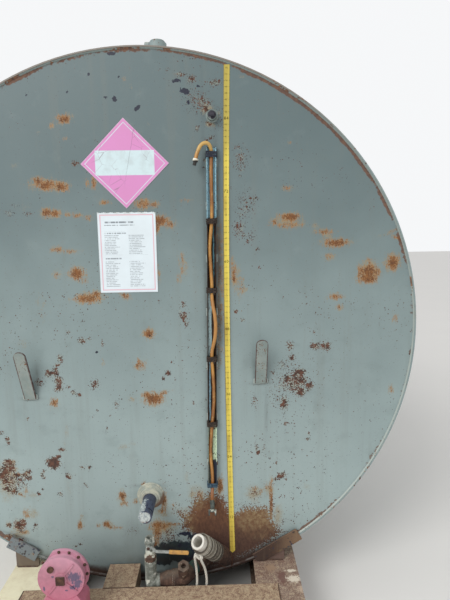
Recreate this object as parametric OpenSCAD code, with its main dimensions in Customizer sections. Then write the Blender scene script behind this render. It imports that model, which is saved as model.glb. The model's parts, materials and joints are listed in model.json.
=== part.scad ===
// Flat-ended horizontal storage tank on a skid, with its end-wall fittings.
// The tank's axis runs along Y, the fitted end wall faces -Y, and Z is up.
// The origin is on the floor, under the middle of the skid.

/* [Tank] */
// Outer diameter of the shell
tank_d = 2438; // [1800:1:3000]
// Length of the shell
tank_l = 4877; // [3600:1:7000]
// Thickness of the shell plate
shell_t = 6.35; // [4:0.05:12]
// Thickness of the flat end plates
head_t = 6.35; // [4:0.05:12]
// Depth of each end plate behind the shell's edge
head_inset = 8; // [5:0.5:20]
// Width of a girth weld bead
bead_w = 12; // [6:1:20]
// Height of a girth weld bead over the shell
bead_h = 2; // [1:0.5:4]
// Leg of the fillet welds round the end plates
fillet = 6; // [4:0.5:7]

/* [Skid] */
// Clear width between the runners' top flanges
runner_gap = 938; // [800:2:1100]
// Depth of the beams of the skid
beam_h = 247; // [200:1:320]
// Width of the beams' flanges
flange_w = 203; // [150:1:260]
// Thickness of the beams' flanges
flange_t = 11; // [7:0.5:16]
// Thickness of the beams' webs
web_t = 7.4; // [5:0.1:12]
// Radius of the fillets between the beams' webs and flanges
root_r = 12; // [6:0.5:18]
// Distance from an end wall to the inner edge of the end beam's flange
beam_gap = 160; // [120:1:260]
// Depth of the cross members under the belly
member_h = 106; // [80:1:120]
// Width of the cross members' flanges
member_w = 103; // [70:1:150]
// Thickness of the cross members' flanges and webs
member_t = 8; // [5:0.5:12]
// Thickness of the upright saddle plates
saddle_t = 12; // [8:1:20]
// Distance from an end wall to the nearest saddle
saddle_in = 620; // [400:1:900]
// Height of the flat bar on the shell's edge at each runner
bar_h = 58; // [40:1:80]
// Length of that flat bar
bar_l = 243; // [200:1:260]
// Thickness of that flat bar
bar_t = 10; // [6:1:16]
// Height of that flat bar's upper edge inside the shell's circle
bar_rise = 31; // [20:1:40]
// Slope of that flat bar, in degrees
bar_tilt = 30.7; // [25:0.1:36]
// Length of the wedge plates along the runner
wedge_l = 150; // [100:1:180]
// How much shorter the left bar of an end is, at its inner end
left_bar_short = 94; // [0:1:110]
// Distance of the left wedge plate of an end from the runner's inner edge
left_wedge_in = 90; // [0:1:95]
// Length of that wedge plate
left_wedge_l = 106; // [60:1:108]
// Width of the short channel between the end wall and the front beam
stub_w = 145; // [100:1:200]
// Depth of that channel
stub_h = 90; // [60:1:110]
// Wall of that channel
stub_t = 8; // [5:0.5:12]
// Place of that channel across the tank
stub_x = -147; // [-200:1:-110]

/* [Upper nozzle] */
// Place of the nozzle across the tank
nozzle_x = -14; // [-60:1:40]
// Height of the nozzle over the skid's top
nozzle_up = 344.3; // [320:0.1:430]
// Radius of the welded pad
pad_r = 59; // [50:1:80]
// Thickness of the pad
pad_t = 12; // [8:1:20]
// Radius of the coupling on the pad
coupling_r = 49; // [40:1:56]
// Length of the coupling
coupling_l = 20; // [12:1:30]
// Outer radius of two-inch pipe
pipe_r = 30.15; // [25:0.05:34]
// Reach of the nozzle from the end wall, with its cap
nozzle_l = 175; // [140:1:176]
// Length of the cap
cap_l = 26; // [16:1:40]

/* [Outlet and spout] */
// Place of the spout's foot across the tank
spout_x = 313; // [290:1:325]
// Height of the spout's foot over the skid's top
spout_up = 39; // [32:1:52]
// Length of the spout from the end wall
spout_l = 254; // [230:1:300]
// Lean of the spout from upright, in degrees
spout_lean = 45.5; // [40:0.1:50]
// Direction of the spout in plan, in degrees from +X
spout_turn = -124; // [-128:0.5:-120]
// Outer radius of the spout's pipe
spout_r = 32; // [28:0.5:36]
// Bore radius of the spout's pipe
spout_bore_r = 22.5; // [18:0.5:25]
// Radius of the narrower way from the tank into that bore
spout_throat_r = 18; // [12:0.5:18]
// Radius of the boss at the spout's foot
boss_r = 37; // [35:0.5:39]
// Diameter of the rope
rope_d = 11; // [9:0.5:12]
// Start of the rope winding along the spout
wind_a = 58; // [56:1:80]
// End of the rope winding along the spout
wind_b = 232; // [200:1:238]
// Place of the branch outlet across the tank
outlet_x = 234; // [225:1:238]
// Height of the branch outlet over the skid's top
outlet_up = 11; // [7:1:15]
// Radius of the outlet's coupling
outlet_r = 34; // [32:0.5:36]
// Place of the side tee across the tank
tee_x = 140; // [130:1:150]
// Distance of the side tee from the end wall
tee_y = 112; // [106:1:120]
// Height of the side tee over the skid's top
tee_up = 9; // [5:1:13]
// Radius of the side tee's body
tee_r = 37; // [34:0.5:40]

/* [Valve] */
// Place of the valve across the tank
valve_x = -6; // [-20:1:10]
// Distance of the valve from the end wall
valve_y = 128; // [124:1:129]
// Height of the elbow over the skid's top
elbow_up = 3; // [-1:1:7]
// Radius of the elbow and its pipe
elbow_r = 27; // [24:0.5:28]
// Top of the elbow over its centre
elbow_h = 108; // [80:1:112]
// Length of the reducing coupling
reducer_l = 38; // [32:1:50]
// Radius of the reducing coupling
reducer_r = 26; // [22:0.5:28]
// Length of the valve's body
valve_l = 68; // [64:1:80]
// Radius of the valve's threaded ends
valve_r = 17.5; // [16.5:0.5:20]
// Bore radius of the valve's open end
port_r = 13; // [10:0.5:14]
// Depth of the open end's bore
port_l = 20; // [14:1:24]
// Radius of the stem
stem_r = 6; // [4:0.5:7]
// Length of the lever from the stem
lever_l = 177; // [140:1:185]
// Width of the lever
lever_w = 12.5; // [11:0.5:17]
// Thickness of the lever
lever_t = 4; // [3:0.5:6]
// Distance from the valve's axis to the lever's hub
lever_off = 36; // [32:1:38]
// How far the lever's arm is cranked out from its hub
lever_crank = 22; // [22:1:30]
// Length of the grip
grip_l = 84; // [60:1:100]
// Slope of the closed lever, in degrees
lever_droop = 4.5; // [0:0.5:8]

/* [Sight gauge] */
// Place of the channel's middle across the tank, at the axis
gauge_x = 291; // [260:1:310]
// Lean of the channel, in degrees
gauge_lean = 0.9; // [0:0.1:2]
// Top of the channel over the tank's axis
gauge_top = 806; // [780:1:815]
// Bottom of the channel over the tank's axis
gauge_foot = -742; // [-750:1:-700]
// Width of the channel
gauge_w = 41; // [38:1:50]
// Depth of the channel
gauge_d = 25; // [22:1:30]
// Wall of the channel
gauge_t = 3; // [2:0.5:4]
// Outer diameter of the sight hose
hose_d = 16; // [12:0.5:17]
// Height of a tie round the channel
tie_h = 24; // [8:1:30]
// Thickness of a tie
tie_t = 2; // [1:0.5:3]
// Height of the cock above the tank's axis
cock_z = -834; // [-840:1:-825]
// Place of the cock across the tank
cock_x = 277; // [270:1:284]
// Radius of the cock's barrel
cock_r = 10; // [8:0.5:12]
// Radius of the cock's stem
cock_stem_r = 3; // [2:0.5:4]
// Width across the cock's wings
wing_w = 36; // [28:1:44]

/* [End wall] */
// Width of the yellow scale strip
strip_w = 25; // [20:1:32]
// Thickness of the strip
strip_t = 1.5; // [1:0.1:3]
// Distance from the strip's top to the edge of the end plate
strip_top_gap = 12; // [11:0.5:150]
// Distance from the strip's foot to the edge of the end plate
strip_foot_gap = 64; // [60:0.5:150]
// Place of the strip across the tank
strip_x = 359.5; // [345:0.5:400]
// How far the strip bends aside, 1200 mm from its straightest place
strip_bow = 14.5; // [0:0.5:20]
// Height of the strip's straightest place over the tank's axis
strip_mid = -80; // [-200:5:100]
// Side of the square placard
placard_w = 268; // [240:1:290]
// Thickness of the placard and the notice sheet
sheet_t = 1.5; // [1:0.1:3]
// Place of the placard's middle across the tank
placard_x = -70; // [-120:1:-20]
// Height of the placard's middle above the axis
placard_z = 742; // [700:1:800]
// Width of the notice sheet
notice_w = 254; // [220:1:280]
// Height of the notice sheet
notice_h = 352; // [320:1:354]
// Middle of the notice sheet above the axis
notice_z = 361; // [340:1:365]
// Radius of the upper plug's coupling
plug_r = 22; // [16:1:28]
// Place of the upper plug across the tank
plug_x = 309; // [290:1:320]
// Height of the upper plug above the axis
plug_z = 934; // [880:1:980]
// Width of the flat hook lugs
lug_w = 53; // [40:1:70]
// Height of the right hook lug
lug_h = 236; // [180:1:260]
// How much longer the left hook lug is
lug_extra = 18; // [0:1:30]
// Place of the right hook lug across the tank
lug_right_x = 510; // [450:1:560]
// Height of the right hook lug's foot above the axis
lug_right_z = -241; // [-300:1:-200]
// Place of the left hook lug across the tank
lug_left_x = -543; // [-600:1:-500]
// Height of the left hook lug's foot above the axis
lug_left_z = -294; // [-350:1:-240]
// Thickness of the hook lugs
lug_t = 8; // [6:0.5:12]
// Reach of a hook lug's tip from the end wall
lug_reach = 90; // [60:1:120]

/* [Pump] */
// Place of the pump across the tank
pump_x = -333; // [-350:1:-320]
// Height of the pump's shaft over the beam
pump_h = 190; // [170:1:210]
// Radius of the pump's round cover
cover_r = 93.5; // [85:0.5:100]
// Thickness of the cover
cover_t = 12; // [8:1:16]
// Distance from the end wall to the cover's face
pump_y = 335; // [320:1:340]
// Radius of the pump's rear flange
rear_flange_r = 103; // [100:0.5:112]
// Thickness of the rear flange
rear_flange_t = 14; // [10:1:20]
// Width of the drum between cover and flange
drum_l = 20; // [12:1:40]
// Radius of the bearing housing
bearing_r = 44; // [36:1:60]
// Length of the bearing housing
bearing_l = 50; // [30:1:60]
// Radius of the drive shaft
shaft_r = 14; // [8:1:18]
// Length of the drive shaft behind the housing
shaft_l = 42; // [20:1:50]
// Width of the foot's base
foot_w = 200; // [180:1:220]
// Depth of the foot
foot_d = 84; // [60:1:90]

/* [Top fittings] */
// Outer radius of the manway's neck
manway_r = 254; // [200:1:300]
// Height of the manway's neck over the shell
manway_h = 150; // [100:1:220]
// Radius of the manway's flange and cover
manway_flange_r = 330; // [305:1:380]
// Thickness of the manway's flange and of its cover
manway_t = 16; // [10:1:24]
// Wall of the manway's neck
manway_wall = 9.5; // [6:0.5:14]
// Distance of the vent from the front end wall
vent_in = 760; // [500:1:900]
// Height of the vent over the shell
vent_h = 330; // [200:1:500]
// Distance of the filling pipe from the front end wall
fill_in = 1180; // [1000:1:1400]
// Outer radius of the filling pipe
fill_r = 57; // [40:1:70]
// Height of the filling pipe over the shell
fill_h = 110; // [70:1:200]
// Thickness of the lifting lugs
lift_t = 20; // [14:1:30]
// Width of the lifting lugs
lift_w = 160; // [120:1:220]
// Height of the holes of the lifting lugs over the shell
lift_h = 90; // [70:1:120]
// Radius of the holes of the lifting lugs
lift_hole_r = 25; // [15:1:32]
// Distance of the lifting lugs from the end walls
lift_in = 340; // [250:1:400]

/* [Hidden] */

$fn = 96;
// Clearance between pieces that are seated or welded to each other
fit = 0.3;
// Length that a cutting solid runs past what it cuts
over = 5;

tank_r = tank_d / 2;
bore_r = tank_r - shell_t;
runner_x = runner_gap / 2 + flange_w / 2;
// The runners' tops are as high as the shell's welds allow at their inner edges
runner_drop = sqrt(pow(tank_r + bead_h, 2) - pow(runner_gap / 2, 2));
axis_z = beam_h + runner_drop;
face_y = -tank_l / 2 + head_inset;
beam_y = -face_y + beam_gap + flange_w / 2;
skid_l = 2 * beam_y + flange_w;
course_l = tank_l / 3;
saddle_y = -face_y - saddle_in;
deck_z = -runner_drop;

red_oxide = [0.42, 0.27, 0.23];
teal = [0.52, 0.60, 0.60];
pink = [0.85, 0.45, 0.58];
rusty = [0.45, 0.28, 0.18];
zinc = [0.58, 0.60, 0.58];
navy = [0.16, 0.20, 0.36];
white = [0.88, 0.87, 0.82];

// Puts what is measured from the front end wall and the tank's axis in place
module at_wall() {
    translate([0, face_y, axis_z]) children();
}

// Turns what is drawn upwards so that it points from one place to another
module aim(from, to) {
    d = to - from;
    translate(from)
        rotate([0, acos(d[2] / norm(d)), atan2(d[1], d[0])])
            children();
}

// A round bar that lies along Y, from y = a to y = b
module rod_y(r, a, b) {
    translate([0, b, 0])
        rotate([90, 0, 0])
            cylinder(r = r, h = b - a);
}

// A cylinder on the tank's axis, fine enough to cut pieces to the shell's curve
module cylinder_along_tank(r, l) {
    translate([0, l / 2, axis_z])
        rotate([90, 0, 0])
            cylinder(r = r, h = l, $fn = 720);
}

// A ring along Y between two stations of the shell
module ring_y(r_out, r_in, a, b) {
    translate([0, b, axis_z])
        rotate([90, 0, 0])
            difference() {
                cylinder(r = r_out, h = b - a, $fn = 180);
                translate([0, 0, -over])
                    cylinder(r = r_in, h = b - a + 2 * over, $fn = 180);
            }
}

module mirrored_x() {
    children();
    mirror([1, 0, 0]) children();
}

// Fillet in the corner at the origin, its legs along +X and +Y
module corner_fillet(r) {
    difference() {
        translate([-1, -1]) square(r + 1);
        translate([r, r]) circle(r = r, $fn = 32);
    }
}

module i_section(h, w, tf, tw, r) {
    translate([-w / 2, 0]) square([w, tf]);
    translate([-w / 2, h - tf]) square([w, tf]);
    translate([-tw / 2, 0]) square([tw, h]);
    mirrored_x() {
        translate([tw / 2, tf]) corner_fillet(r);
        translate([tw / 2, h - tf]) mirror([0, 1]) corner_fillet(r);
    }
}

// The end plates
module head(y) {
    translate([0, y + head_t, axis_z])
        rotate([90, 0, 0])
            cylinder(r = bore_r - fit, h = head_t, $fn = 180);
}

module front_head() {
    color(teal) head(face_y);
}

module rear_head() {
    color(teal) head(-face_y - head_t);
}

// Fillet welds between each end plate and the shell's edge
module rim_welds() {
    color(teal)
        for (turn = [0, 180])
            rotate([0, 0, turn])
                translate([0, face_y, axis_z])
                    rotate([90, 0, 0])
                        rotate_extrude($fn = 180)
                            polygon([[bore_r - fit, fit], [bore_r - fit, fillet], [bore_r - fillet, fit]]);
}

module course(n) {
    // Neighbouring courses meet under a girth weld with a small root gap
    front_gap = n > 0 ? fit : 0;
    ring_y(tank_r, bore_r, -tank_l / 2 + n * course_l + front_gap, -tank_l / 2 + (n + 1) * course_l);
}

module shell_front_course() {
    color(teal) course(0);
}

module shell_middle_course() {
    color(teal)
        difference() {
            course(1);
            translate([0, 0, axis_z])
                cylinder(r = manway_r + fit, h = tank_r + over);
        }
}

module shell_rear_course() {
    color(teal) course(2);
}

module girth_welds() {
    color(teal)
        for (y = [-course_l / 2, course_l / 2])
            ring_y(tank_r + bead_h, tank_r + fit, y - bead_w / 2, y + bead_w / 2);
}

// A runner is coped at its ends, so that the end beams reach its web
module runner(side) {
    cope_l = flange_w + fit;
    translate([side * runner_x, 0, 0])
        difference() {
            translate([0, skid_l / 2, 0])
                rotate([90, 0, 0])
                    linear_extrude(skid_l)
                        i_section(beam_h, flange_w, flange_t, web_t, root_r);
            for (end = [-1, 1])
                translate([-side * (web_t / 2 + flange_w / 2), end * (skid_l / 2 - cope_l / 2), beam_h / 2])
                    cube([flange_w, cope_l, beam_h + over], center = true);
        }
}

module runner_left() {
    color(red_oxide) runner(-1);
}

module runner_right() {
    color(red_oxide) runner(1);
}

module end_beam(end) {
    beam_l = 2 * (runner_x - web_t / 2 - fit);
    translate([-beam_l / 2, end * beam_y, 0])
        rotate([90, 0, 90])
            linear_extrude(beam_l)
                i_section(beam_h, flange_w, flange_t, web_t, root_r);
}

module front_cross_beam() {
    color(red_oxide) end_beam(-1);
}

module rear_cross_beam() {
    color(red_oxide) end_beam(1);
}

// Shallow members under the belly, on the runners' bottom flanges
module cross_members() {
    member_l = 2 * (runner_x - web_t / 2 - root_r - fit);
    color(red_oxide)
        for (y = [-saddle_y, 0, saddle_y])
            translate([-member_l / 2, y, flange_t])
                rotate([90, 0, 90])
                    linear_extrude(member_l)
                        i_section(member_h, member_w, member_t, member_t, member_t);
}

// Upright plates, cut to the shell's curve
module saddle_plates() {
    plate_w = runner_gap - 2 * fit;
    color(red_oxide)
        for (y = [-saddle_y, 0, saddle_y])
            difference() {
                translate([-plate_w / 2, y - saddle_t / 2, flange_t + member_h])
                    cube([plate_w, saddle_t, beam_h - flange_t - member_h]);
                cylinder_along_tank(tank_r + bead_h + fit, tank_l);
            }
}

// How far a flat bar starts inside the edge of the runner
bar_lap = 4;

// A flat bar on the shell's edge over the right runner, with its inner end cut short
module saddle_bar(short) {
    bar_y = face_y - head_inset - fit;
    bar_z = axis_z - sqrt(pow(tank_r - bar_rise, 2) - pow(runner_gap / 2, 2));
    difference() {
        translate([runner_gap / 2 - bar_lap, bar_y, bar_z])
            rotate([90, -bar_tilt, 0])
                translate([short, -bar_h, 0])
                    cube([bar_l - short, bar_h, bar_t]);
        translate([0, bar_y - 2 * bar_t, 0])
            cube([tank_r, 4 * bar_t, beam_h + fit]);
    }
}

// Sloping flat bars at both ends, the left one of each end shorter
module saddle_bars() {
    color(red_oxide)
        for (turn = [0, 180])
            rotate([0, 0, turn]) {
                saddle_bar(0);
                mirror([1, 0, 0]) saddle_bar(left_bar_short);
            }
}

// A plate between the right runner's top and the shell
module saddle_wedge(y, inner, length) {
    difference() {
        translate([runner_gap / 2 + inner, y, beam_h])
            cube([length, saddle_t, tank_r]);
        cylinder_along_tank(tank_r + fit, tank_l + over);
    }
}

// These plates at both ends and in the middle, the left one of each end further out
module saddle_wedges() {
    color(red_oxide) {
        for (turn = [0, 180])
            rotate([0, 0, turn]) {
                saddle_wedge(-tank_l / 2, 0, wedge_l);
                mirror([1, 0, 0]) saddle_wedge(-tank_l / 2, left_wedge_in, left_wedge_l);
            }
        mirrored_x() saddle_wedge(-saddle_t / 2, 0, wedge_l);
    }
}

// Short channel, flanges down, from the end wall to the front beam
module stub_channel() {
    stub_l = beam_gap - head_inset - 2 * fit;
    color(red_oxide)
        at_wall()
            translate([stub_x - stub_w / 2, -beam_gap + fit, deck_z - stub_h])
                difference() {
                    cube([stub_w, stub_l, stub_h]);
                    translate([stub_t, -over, -stub_t])
                        cube([stub_w - 2 * stub_t, stub_l + 2 * over, stub_h]);
                }
}

pump_z = deck_z + pump_h;
drum_r = cover_r - 3;
// Direction of the flat on the rear flange, in degrees
flat_turn = 35;
drum_y = -pump_y + cover_t;
rear_y = drum_y + drum_l;
housing_y = rear_y + rear_flange_t;

module at_pump() {
    at_wall() translate([pump_x, 0, pump_z]) children();
}

// Drum, rear flange with one flat, bearing housing and shaft
module pump_body() {
    color(pink)
        at_pump() {
            rod_y(drum_r, drum_y, rear_y);
            difference() {
                rod_y(rear_flange_r, rear_y, housing_y);
                rotate([0, flat_turn, 0])
                    translate([-rear_flange_r - cover_r, rear_y - over, -rear_flange_r])
                        cube([rear_flange_r + over, rear_flange_t + 2 * over, 2 * rear_flange_r]);
            }
            rod_y(bearing_r, housing_y, housing_y + bearing_l);
            rod_y(shaft_r, housing_y + bearing_l, housing_y + bearing_l + shaft_l);
        }
}

rib_w = 6;
rib_h = 4;
// How far a rib ends inside the cover's edge
rib_in = 8;
hub_r = 25;
hub_l = 8;

// Round front cover with a hub and raised ribs
module pump_cover() {
    color(pink)
        at_pump() {
            rod_y(cover_r, -pump_y, drum_y);
            rod_y(hub_r, -pump_y - hub_l, -pump_y);
            for (a = [40, 130, 310])
                rotate([0, a, 0])
                    translate([hub_r - 2, -pump_y - rib_h, -rib_w / 2])
                        cube([cover_r - hub_r - rib_in, rib_h, rib_w]);
        }
}

plug_w = 34;
plug_l = 7;
// Radius, length and place of the round plug on the cover
side_plug_r = 13;
side_plug_l = 7;
side_plug_x = -39;
side_plug_z = 45;

// Square plug in the hub and a round one beside it
module pump_plugs() {
    color(rusty)
        at_pump() {
            translate([-plug_w / 2, -pump_y - hub_l - plug_l, -plug_w / 2])
                cube([plug_w, plug_l, plug_w]);
            translate([side_plug_x, 0, side_plug_z])
                rod_y(side_plug_r, -pump_y - side_plug_l, -pump_y);
        }
}

// Cast foot, arched between its two pads
module pump_foot() {
    neck_x = 44;
    neck_z = -48;
    shoulder_z = -110;
    toe = 14;
    base_t = 14;
    arch_r = 50;
    front_lap = 3;
    side_x = foot_w / 2 - toe;
    pad_z = -pump_h + fit;
    color(pink)
        at_pump()
            difference() {
                translate([0, -pump_y + foot_d, 0])
                    rotate([90, 0, 0])
                        linear_extrude(foot_d + front_lap)
                            difference() {
                                polygon([[-neck_x, neck_z], [neck_x, neck_z],
                                         [side_x, shoulder_z], [side_x, pad_z + base_t],
                                         [foot_w / 2, pad_z + base_t], [foot_w / 2, pad_z],
                                         [-foot_w / 2, pad_z], [-foot_w / 2, pad_z + base_t],
                                         [-side_x, pad_z + base_t], [-side_x, shoulder_z]]);
                                translate([0, pad_z]) circle(r = arch_r);
                            }
                rod_y(cover_r + fit, -pump_y - over, drum_y + fit);
                rod_y(drum_r + fit, drum_y, rear_y + fit);
                rod_y(rear_flange_r + fit, rear_y - fit, housing_y + fit);
                rod_y(bearing_r + fit, housing_y, 0);
            }
}

// Radius over the pipe and length of the collar's outermost ring
lip_r = 9;
lip_l = 7;
// Depth and length of the groove behind the nozzle's cap
groove_r = 3;
groove_l = 4;
collar_l = pad_t + coupling_l + lip_l;

module at_nozzle() {
    at_wall() translate([nozzle_x, 0, deck_z + nozzle_up]) children();
}

// Stacked rings round the upper nozzle
module nozzle_collar() {
    color(white)
        at_nozzle()
            difference() {
                union() {
                    rod_y(pad_r, -pad_t, -fit);
                    rod_y(coupling_r, -pad_t - coupling_l, -pad_t);
                    rod_y(pipe_r + lip_r, -collar_l, -pad_t - coupling_l);
                }
                rod_y(pipe_r + fit, -collar_l - over, over);
            }
}

// Short pipe with its round cap
module nozzle_pipe() {
    color(navy)
        at_nozzle() {
            rod_y(pipe_r, -nozzle_l + cap_l, -fit);
            rod_y(pipe_r - groove_r, -nozzle_l + cap_l - groove_l, -nozzle_l + cap_l);
            rod_y(pipe_r - 1, -nozzle_l, -nozzle_l + cap_l - groove_l);
        }
}

// The spout's foot lies this far in front of the end wall
spout_y = 16;
spout_foot = [spout_x, -spout_y, deck_z + spout_up];
spout_dir = [sin(spout_lean) * cos(spout_turn), sin(spout_lean) * sin(spout_turn), cos(spout_lean)];

module at_spout() {
    at_wall() aim(spout_foot, spout_foot + spout_dir) children();
}

// Keeps what is in front of the end wall
module before_wall() {
    intersection() {
        children();
        translate([-tank_r, face_y - tank_r - fit, 0])
            cube([tank_d, tank_r, 2 * axis_z]);
    }
}

// How far slanted pipes are drawn behind their foot, before the end wall cuts them off
spout_back = 60;
// The spout's bore widens this far from its foot
throat_l = 34;
boss_l = 44;

// Boss at the spout's foot, cut off at the end wall and cleared for the outlet
module spout_boss() {
    color(rusty)
        before_wall()
            difference() {
                at_spout()
                    difference() {
                        translate([0, 0, -spout_back])
                            cylinder(r = boss_r, h = spout_back + boss_l);
                        translate([0, 0, -spout_back - over])
                            cylinder(r = spout_r + fit, h = spout_back + boss_l + 2 * over);
                    }
                at_wall()
                    aim(tee_at, outlet_at)
                        cylinder(r = outlet_r + fit, h = branch_l + 2 * spout_back);
            }
}

// Open pipe that the rope is wound on
module spout_pipe() {
    color(white)
        before_wall()
            at_spout()
                difference() {
                    translate([0, 0, -spout_back])
                        cylinder(r = spout_r, h = spout_back + spout_l);
                    translate([0, 0, -spout_back - over])
                        cylinder(r = spout_throat_r, h = spout_back + spout_l);
                    translate([0, 0, throat_l])
                        cylinder(r = spout_bore_r, h = spout_l);
                }
}

// Outer shape of the rope winding, its turns as shallow steps
core = 0.55;
turn_gap = 0.14;

module rope_coil() {
    turns = floor((wind_b - wind_a) / rope_d);
    pitch = (wind_b - wind_a) / turns;
    r0 = spout_r + fit;
    color(white)
        at_spout()
            translate([0, 0, wind_a])
                rotate_extrude()
                    union() {
                        translate([r0, 0]) square([rope_d * core, wind_b - wind_a]);
                        for (n = [0 : turns - 1])
                            translate([r0, (n + turn_gap) * pitch])
                                square([rope_d, pitch * (1 - 2 * turn_gap)]);
                    }
}

// Points of the two loose rope ends, from the knot down, measured from the spout's foot
tail_left_route = [[-110, -145, 118.8], [-114, -148, 113], [-116, -149.5, 104], [-115, -148, 88],
    [-113, -143, 64], [-111, -136, 38], [-110, -133, 12], [-109, -132, -16], [-111, -132, -46]];
tail_right_route = [[-89, -147.6, 108.8], [-89.5, -152, 103.5], [-88, -154.5, 94], [-83, -152, 78],
    [-76, -144, 54], [-71, -137, 30], [-68, -133, 6], [-66, -132, -18], [-67, -132, -46]];

// Points of the sight hose, from the cock up to its bent-over end
hose_route = [[277, -36, -790], [277, -36, -776], [278, -30, -762], [279, -19, -746],
    [280, -14, -730], [280.5, -14, -700], [278.5, -14, -652], [274.5, -14, -606],
    [273.5, -14, -558], [276.5, -14, -512], [281, -14, -462], [284, -14, -430],
    [289, -14, -383], [294, -14, -328], [294.5, -14, -283], [295, -14, -248],
    [292, -14, -187], [289.5, -14, -146], [288.5, -14, -110], [290.5, -16.5, -84],
    [297, -24, -55], [302, -30, -33], [305.5, -33.5, -11], [308, -35, 33],
    [305.5, -33.5, 76], [302, -30, 98], [297.5, -24, 122], [294.5, -16, 152],
    [294, -14, 178], [294.5, -14, 224], [291, -14, 295], [287.7, -14, 364],
    [291.5, -14, 420], [296.5, -14, 461], [299, -14, 492], [300.5, -14, 516],
    [301, -14, 569], [300.5, -14, 624], [301, -14, 699], [302, -14, 750],
    [303, -14, 777], [302.5, -16, 789], [300, -21.5, 800], [296, -27.5, 808.5],
    [289, -32, 815], [279, -35, 817], [267, -37, 813], [256, -39, 802], [248, -40, 786],
    [241, -40, 768], [237, -40, 752]];

// Rings of a round tube along a route, and the tube itself
function route_dir(p, i) =
    let (a = p[max(i - 1, 0)], b = p[min(i + 1, len(p) - 1)]) (b - a) / norm(b - a);
function side_dir(d) =
    let (s = cross(d, [0.13, 0.99, 0.05])) s / norm(s);
function ring(p, i, r, n) =
    let (d = route_dir(p, i), u = side_dir(d), v = cross(d, u))
        [for (k = [0 : n - 1]) p[i] + r * (cos(360 * k / n) * u + sin(360 * k / n) * v)];

module tube(p, r, n) {
    last = len(p) - 1;
    points = [for (i = [0 : last]) each ring(p, i, r, n)];
    sides = [for (i = [0 : last - 1]) for (k = [0 : n - 1])
        let (m = (k + 1) % n)
            each [[i * n + k, i * n + m, (i + 1) * n + k],
                  [i * n + m, (i + 1) * n + m, (i + 1) * n + k]]];
    polyhedron(points, concat(sides, [[for (k = [n - 1 : -1 : 0]) k]],
        [[for (k = [0 : n - 1]) last * n + k]]));
}

module rope_tail_left() {
    color(white) at_wall() translate(spout_foot) tube(tail_left_route, rope_d / 2, 8);
}

module rope_tail_right() {
    color(white) at_wall() translate(spout_foot) tube(tail_right_route, rope_d / 2, 8);
}

outlet_at = [outlet_x, 0, deck_z + outlet_up];
tee_at = [tee_x, -tee_y, deck_z + tee_up];
elbow_at = [valve_x, -valve_y, deck_z + elbow_up];
branch_l = norm(outlet_at - tee_at);
run_l = norm(elbow_at - tee_at);
outlet_coupling_l = 56;
// Lengths of the tee's two arms
tee_half = 40;
tee_long = 42;

// Coupling of the branch outlet, cut off at the end wall
module outlet_coupling() {
    color(rusty)
        before_wall()
            at_wall()
                aim(outlet_at, tee_at)
                    difference() {
                        translate([0, 0, -spout_back])
                            cylinder(r = outlet_r, h = spout_back + outlet_coupling_l);
                        translate([0, 0, -spout_back - over])
                            cylinder(r = pipe_r + fit, h = spout_back + outlet_coupling_l + 2 * over);
                    }
}

module branch_pipe() {
    color([0.12, 0.40, 0.28])
        before_wall()
            at_wall()
                aim(tee_at, outlet_at)
                    translate([0, 0, tee_half + fit])
                        cylinder(r = pipe_r, h = branch_l - tee_half + spout_back);
}

// Direction, length and hole of the tee's open boss
tee_boss_dir = [0.05, -0.49, 0.87];
tee_boss_l = 106;
tee_hex_r = 27;
tee_hole_r = 11;
tee_hole_l = 24;

// Body that turns the run, with an open hexagon boss towards the front
module side_tee() {
    color(rusty)
        at_wall()
            difference() {
                union() {
                    aim(tee_at, outlet_at) cylinder(r = tee_r, h = tee_half);
                    aim(tee_at, elbow_at) cylinder(r = tee_r, h = tee_long);
                    translate(tee_at) sphere(r = tee_r + 1.5);
                    aim(tee_at, tee_at + tee_boss_dir) cylinder(r = tee_hex_r, h = tee_boss_l, $fn = 6);
                }
                aim(tee_at, tee_at + tee_boss_dir)
                    translate([0, 0, tee_boss_l - tee_hole_l])
                        cylinder(r = tee_hole_r, h = tee_hole_l + over);
            }
}

bell_gap = tee_long + fit;
bell_rim = 8;
bell_wide_l = 34;
bell_cone_l = 26;
// How far the elbow's side arm reaches past its radius, and the arm's whole length
elbow_reach = 13;
elbow_arm = elbow_r + elbow_reach;
// Width of the collars at the elbow's mouths
collar_w = 14;
top_collar_w = 22;

// Bell reducer from the tee down to the elbow's size
module bell_reducer() {
    bell_l = run_l - bell_gap - elbow_arm - 1;
    bell_r = elbow_r - 1;
    color(rusty)
        at_wall()
            aim(tee_at, elbow_at)
                translate([0, 0, bell_gap])
                    rotate_extrude()
                        polygon([[0, 0], [tee_r + 1, 0], [tee_r + 1, bell_rim], [tee_r - 3, bell_rim],
                                 [tee_r - 3, bell_wide_l], [bell_r, bell_wide_l + bell_cone_l],
                                 [bell_r, bell_l], [0, bell_l]]);
}

// Elbow with collars at both mouths
module pipe_elbow() {
    color(zinc)
        at_wall()
            union() {
                translate(elbow_at) sphere(r = elbow_r);
                translate(elbow_at) cylinder(r = elbow_r - 1.5, h = elbow_h);
                translate(elbow_at + [0, 0, elbow_h - top_collar_w])
                    cylinder(r = elbow_r, h = top_collar_w);
                aim(elbow_at, tee_at) cylinder(r = elbow_r - 1.5, h = elbow_arm);
                aim(elbow_at, tee_at)
                    translate([0, 0, elbow_arm - collar_w - 2])
                        cylinder(r = elbow_r + 0.5, h = collar_w);
            }
}

reducer_z = elbow_at[2] + elbow_h + fit;
valve_z = reducer_z + reducer_l + fit;

// Reducing coupling under the valve
module valve_reducer() {
    color(rusty)
        at_wall()
            translate([valve_x, -valve_y, reducer_z])
                rotate_extrude()
                    polygon([[0, 0], [reducer_r, 0], [reducer_r, reducer_l * 0.55],
                             [valve_r + 3, reducer_l * 0.8], [valve_r + 3, reducer_l], [0, reducer_l]]);
}

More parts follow.
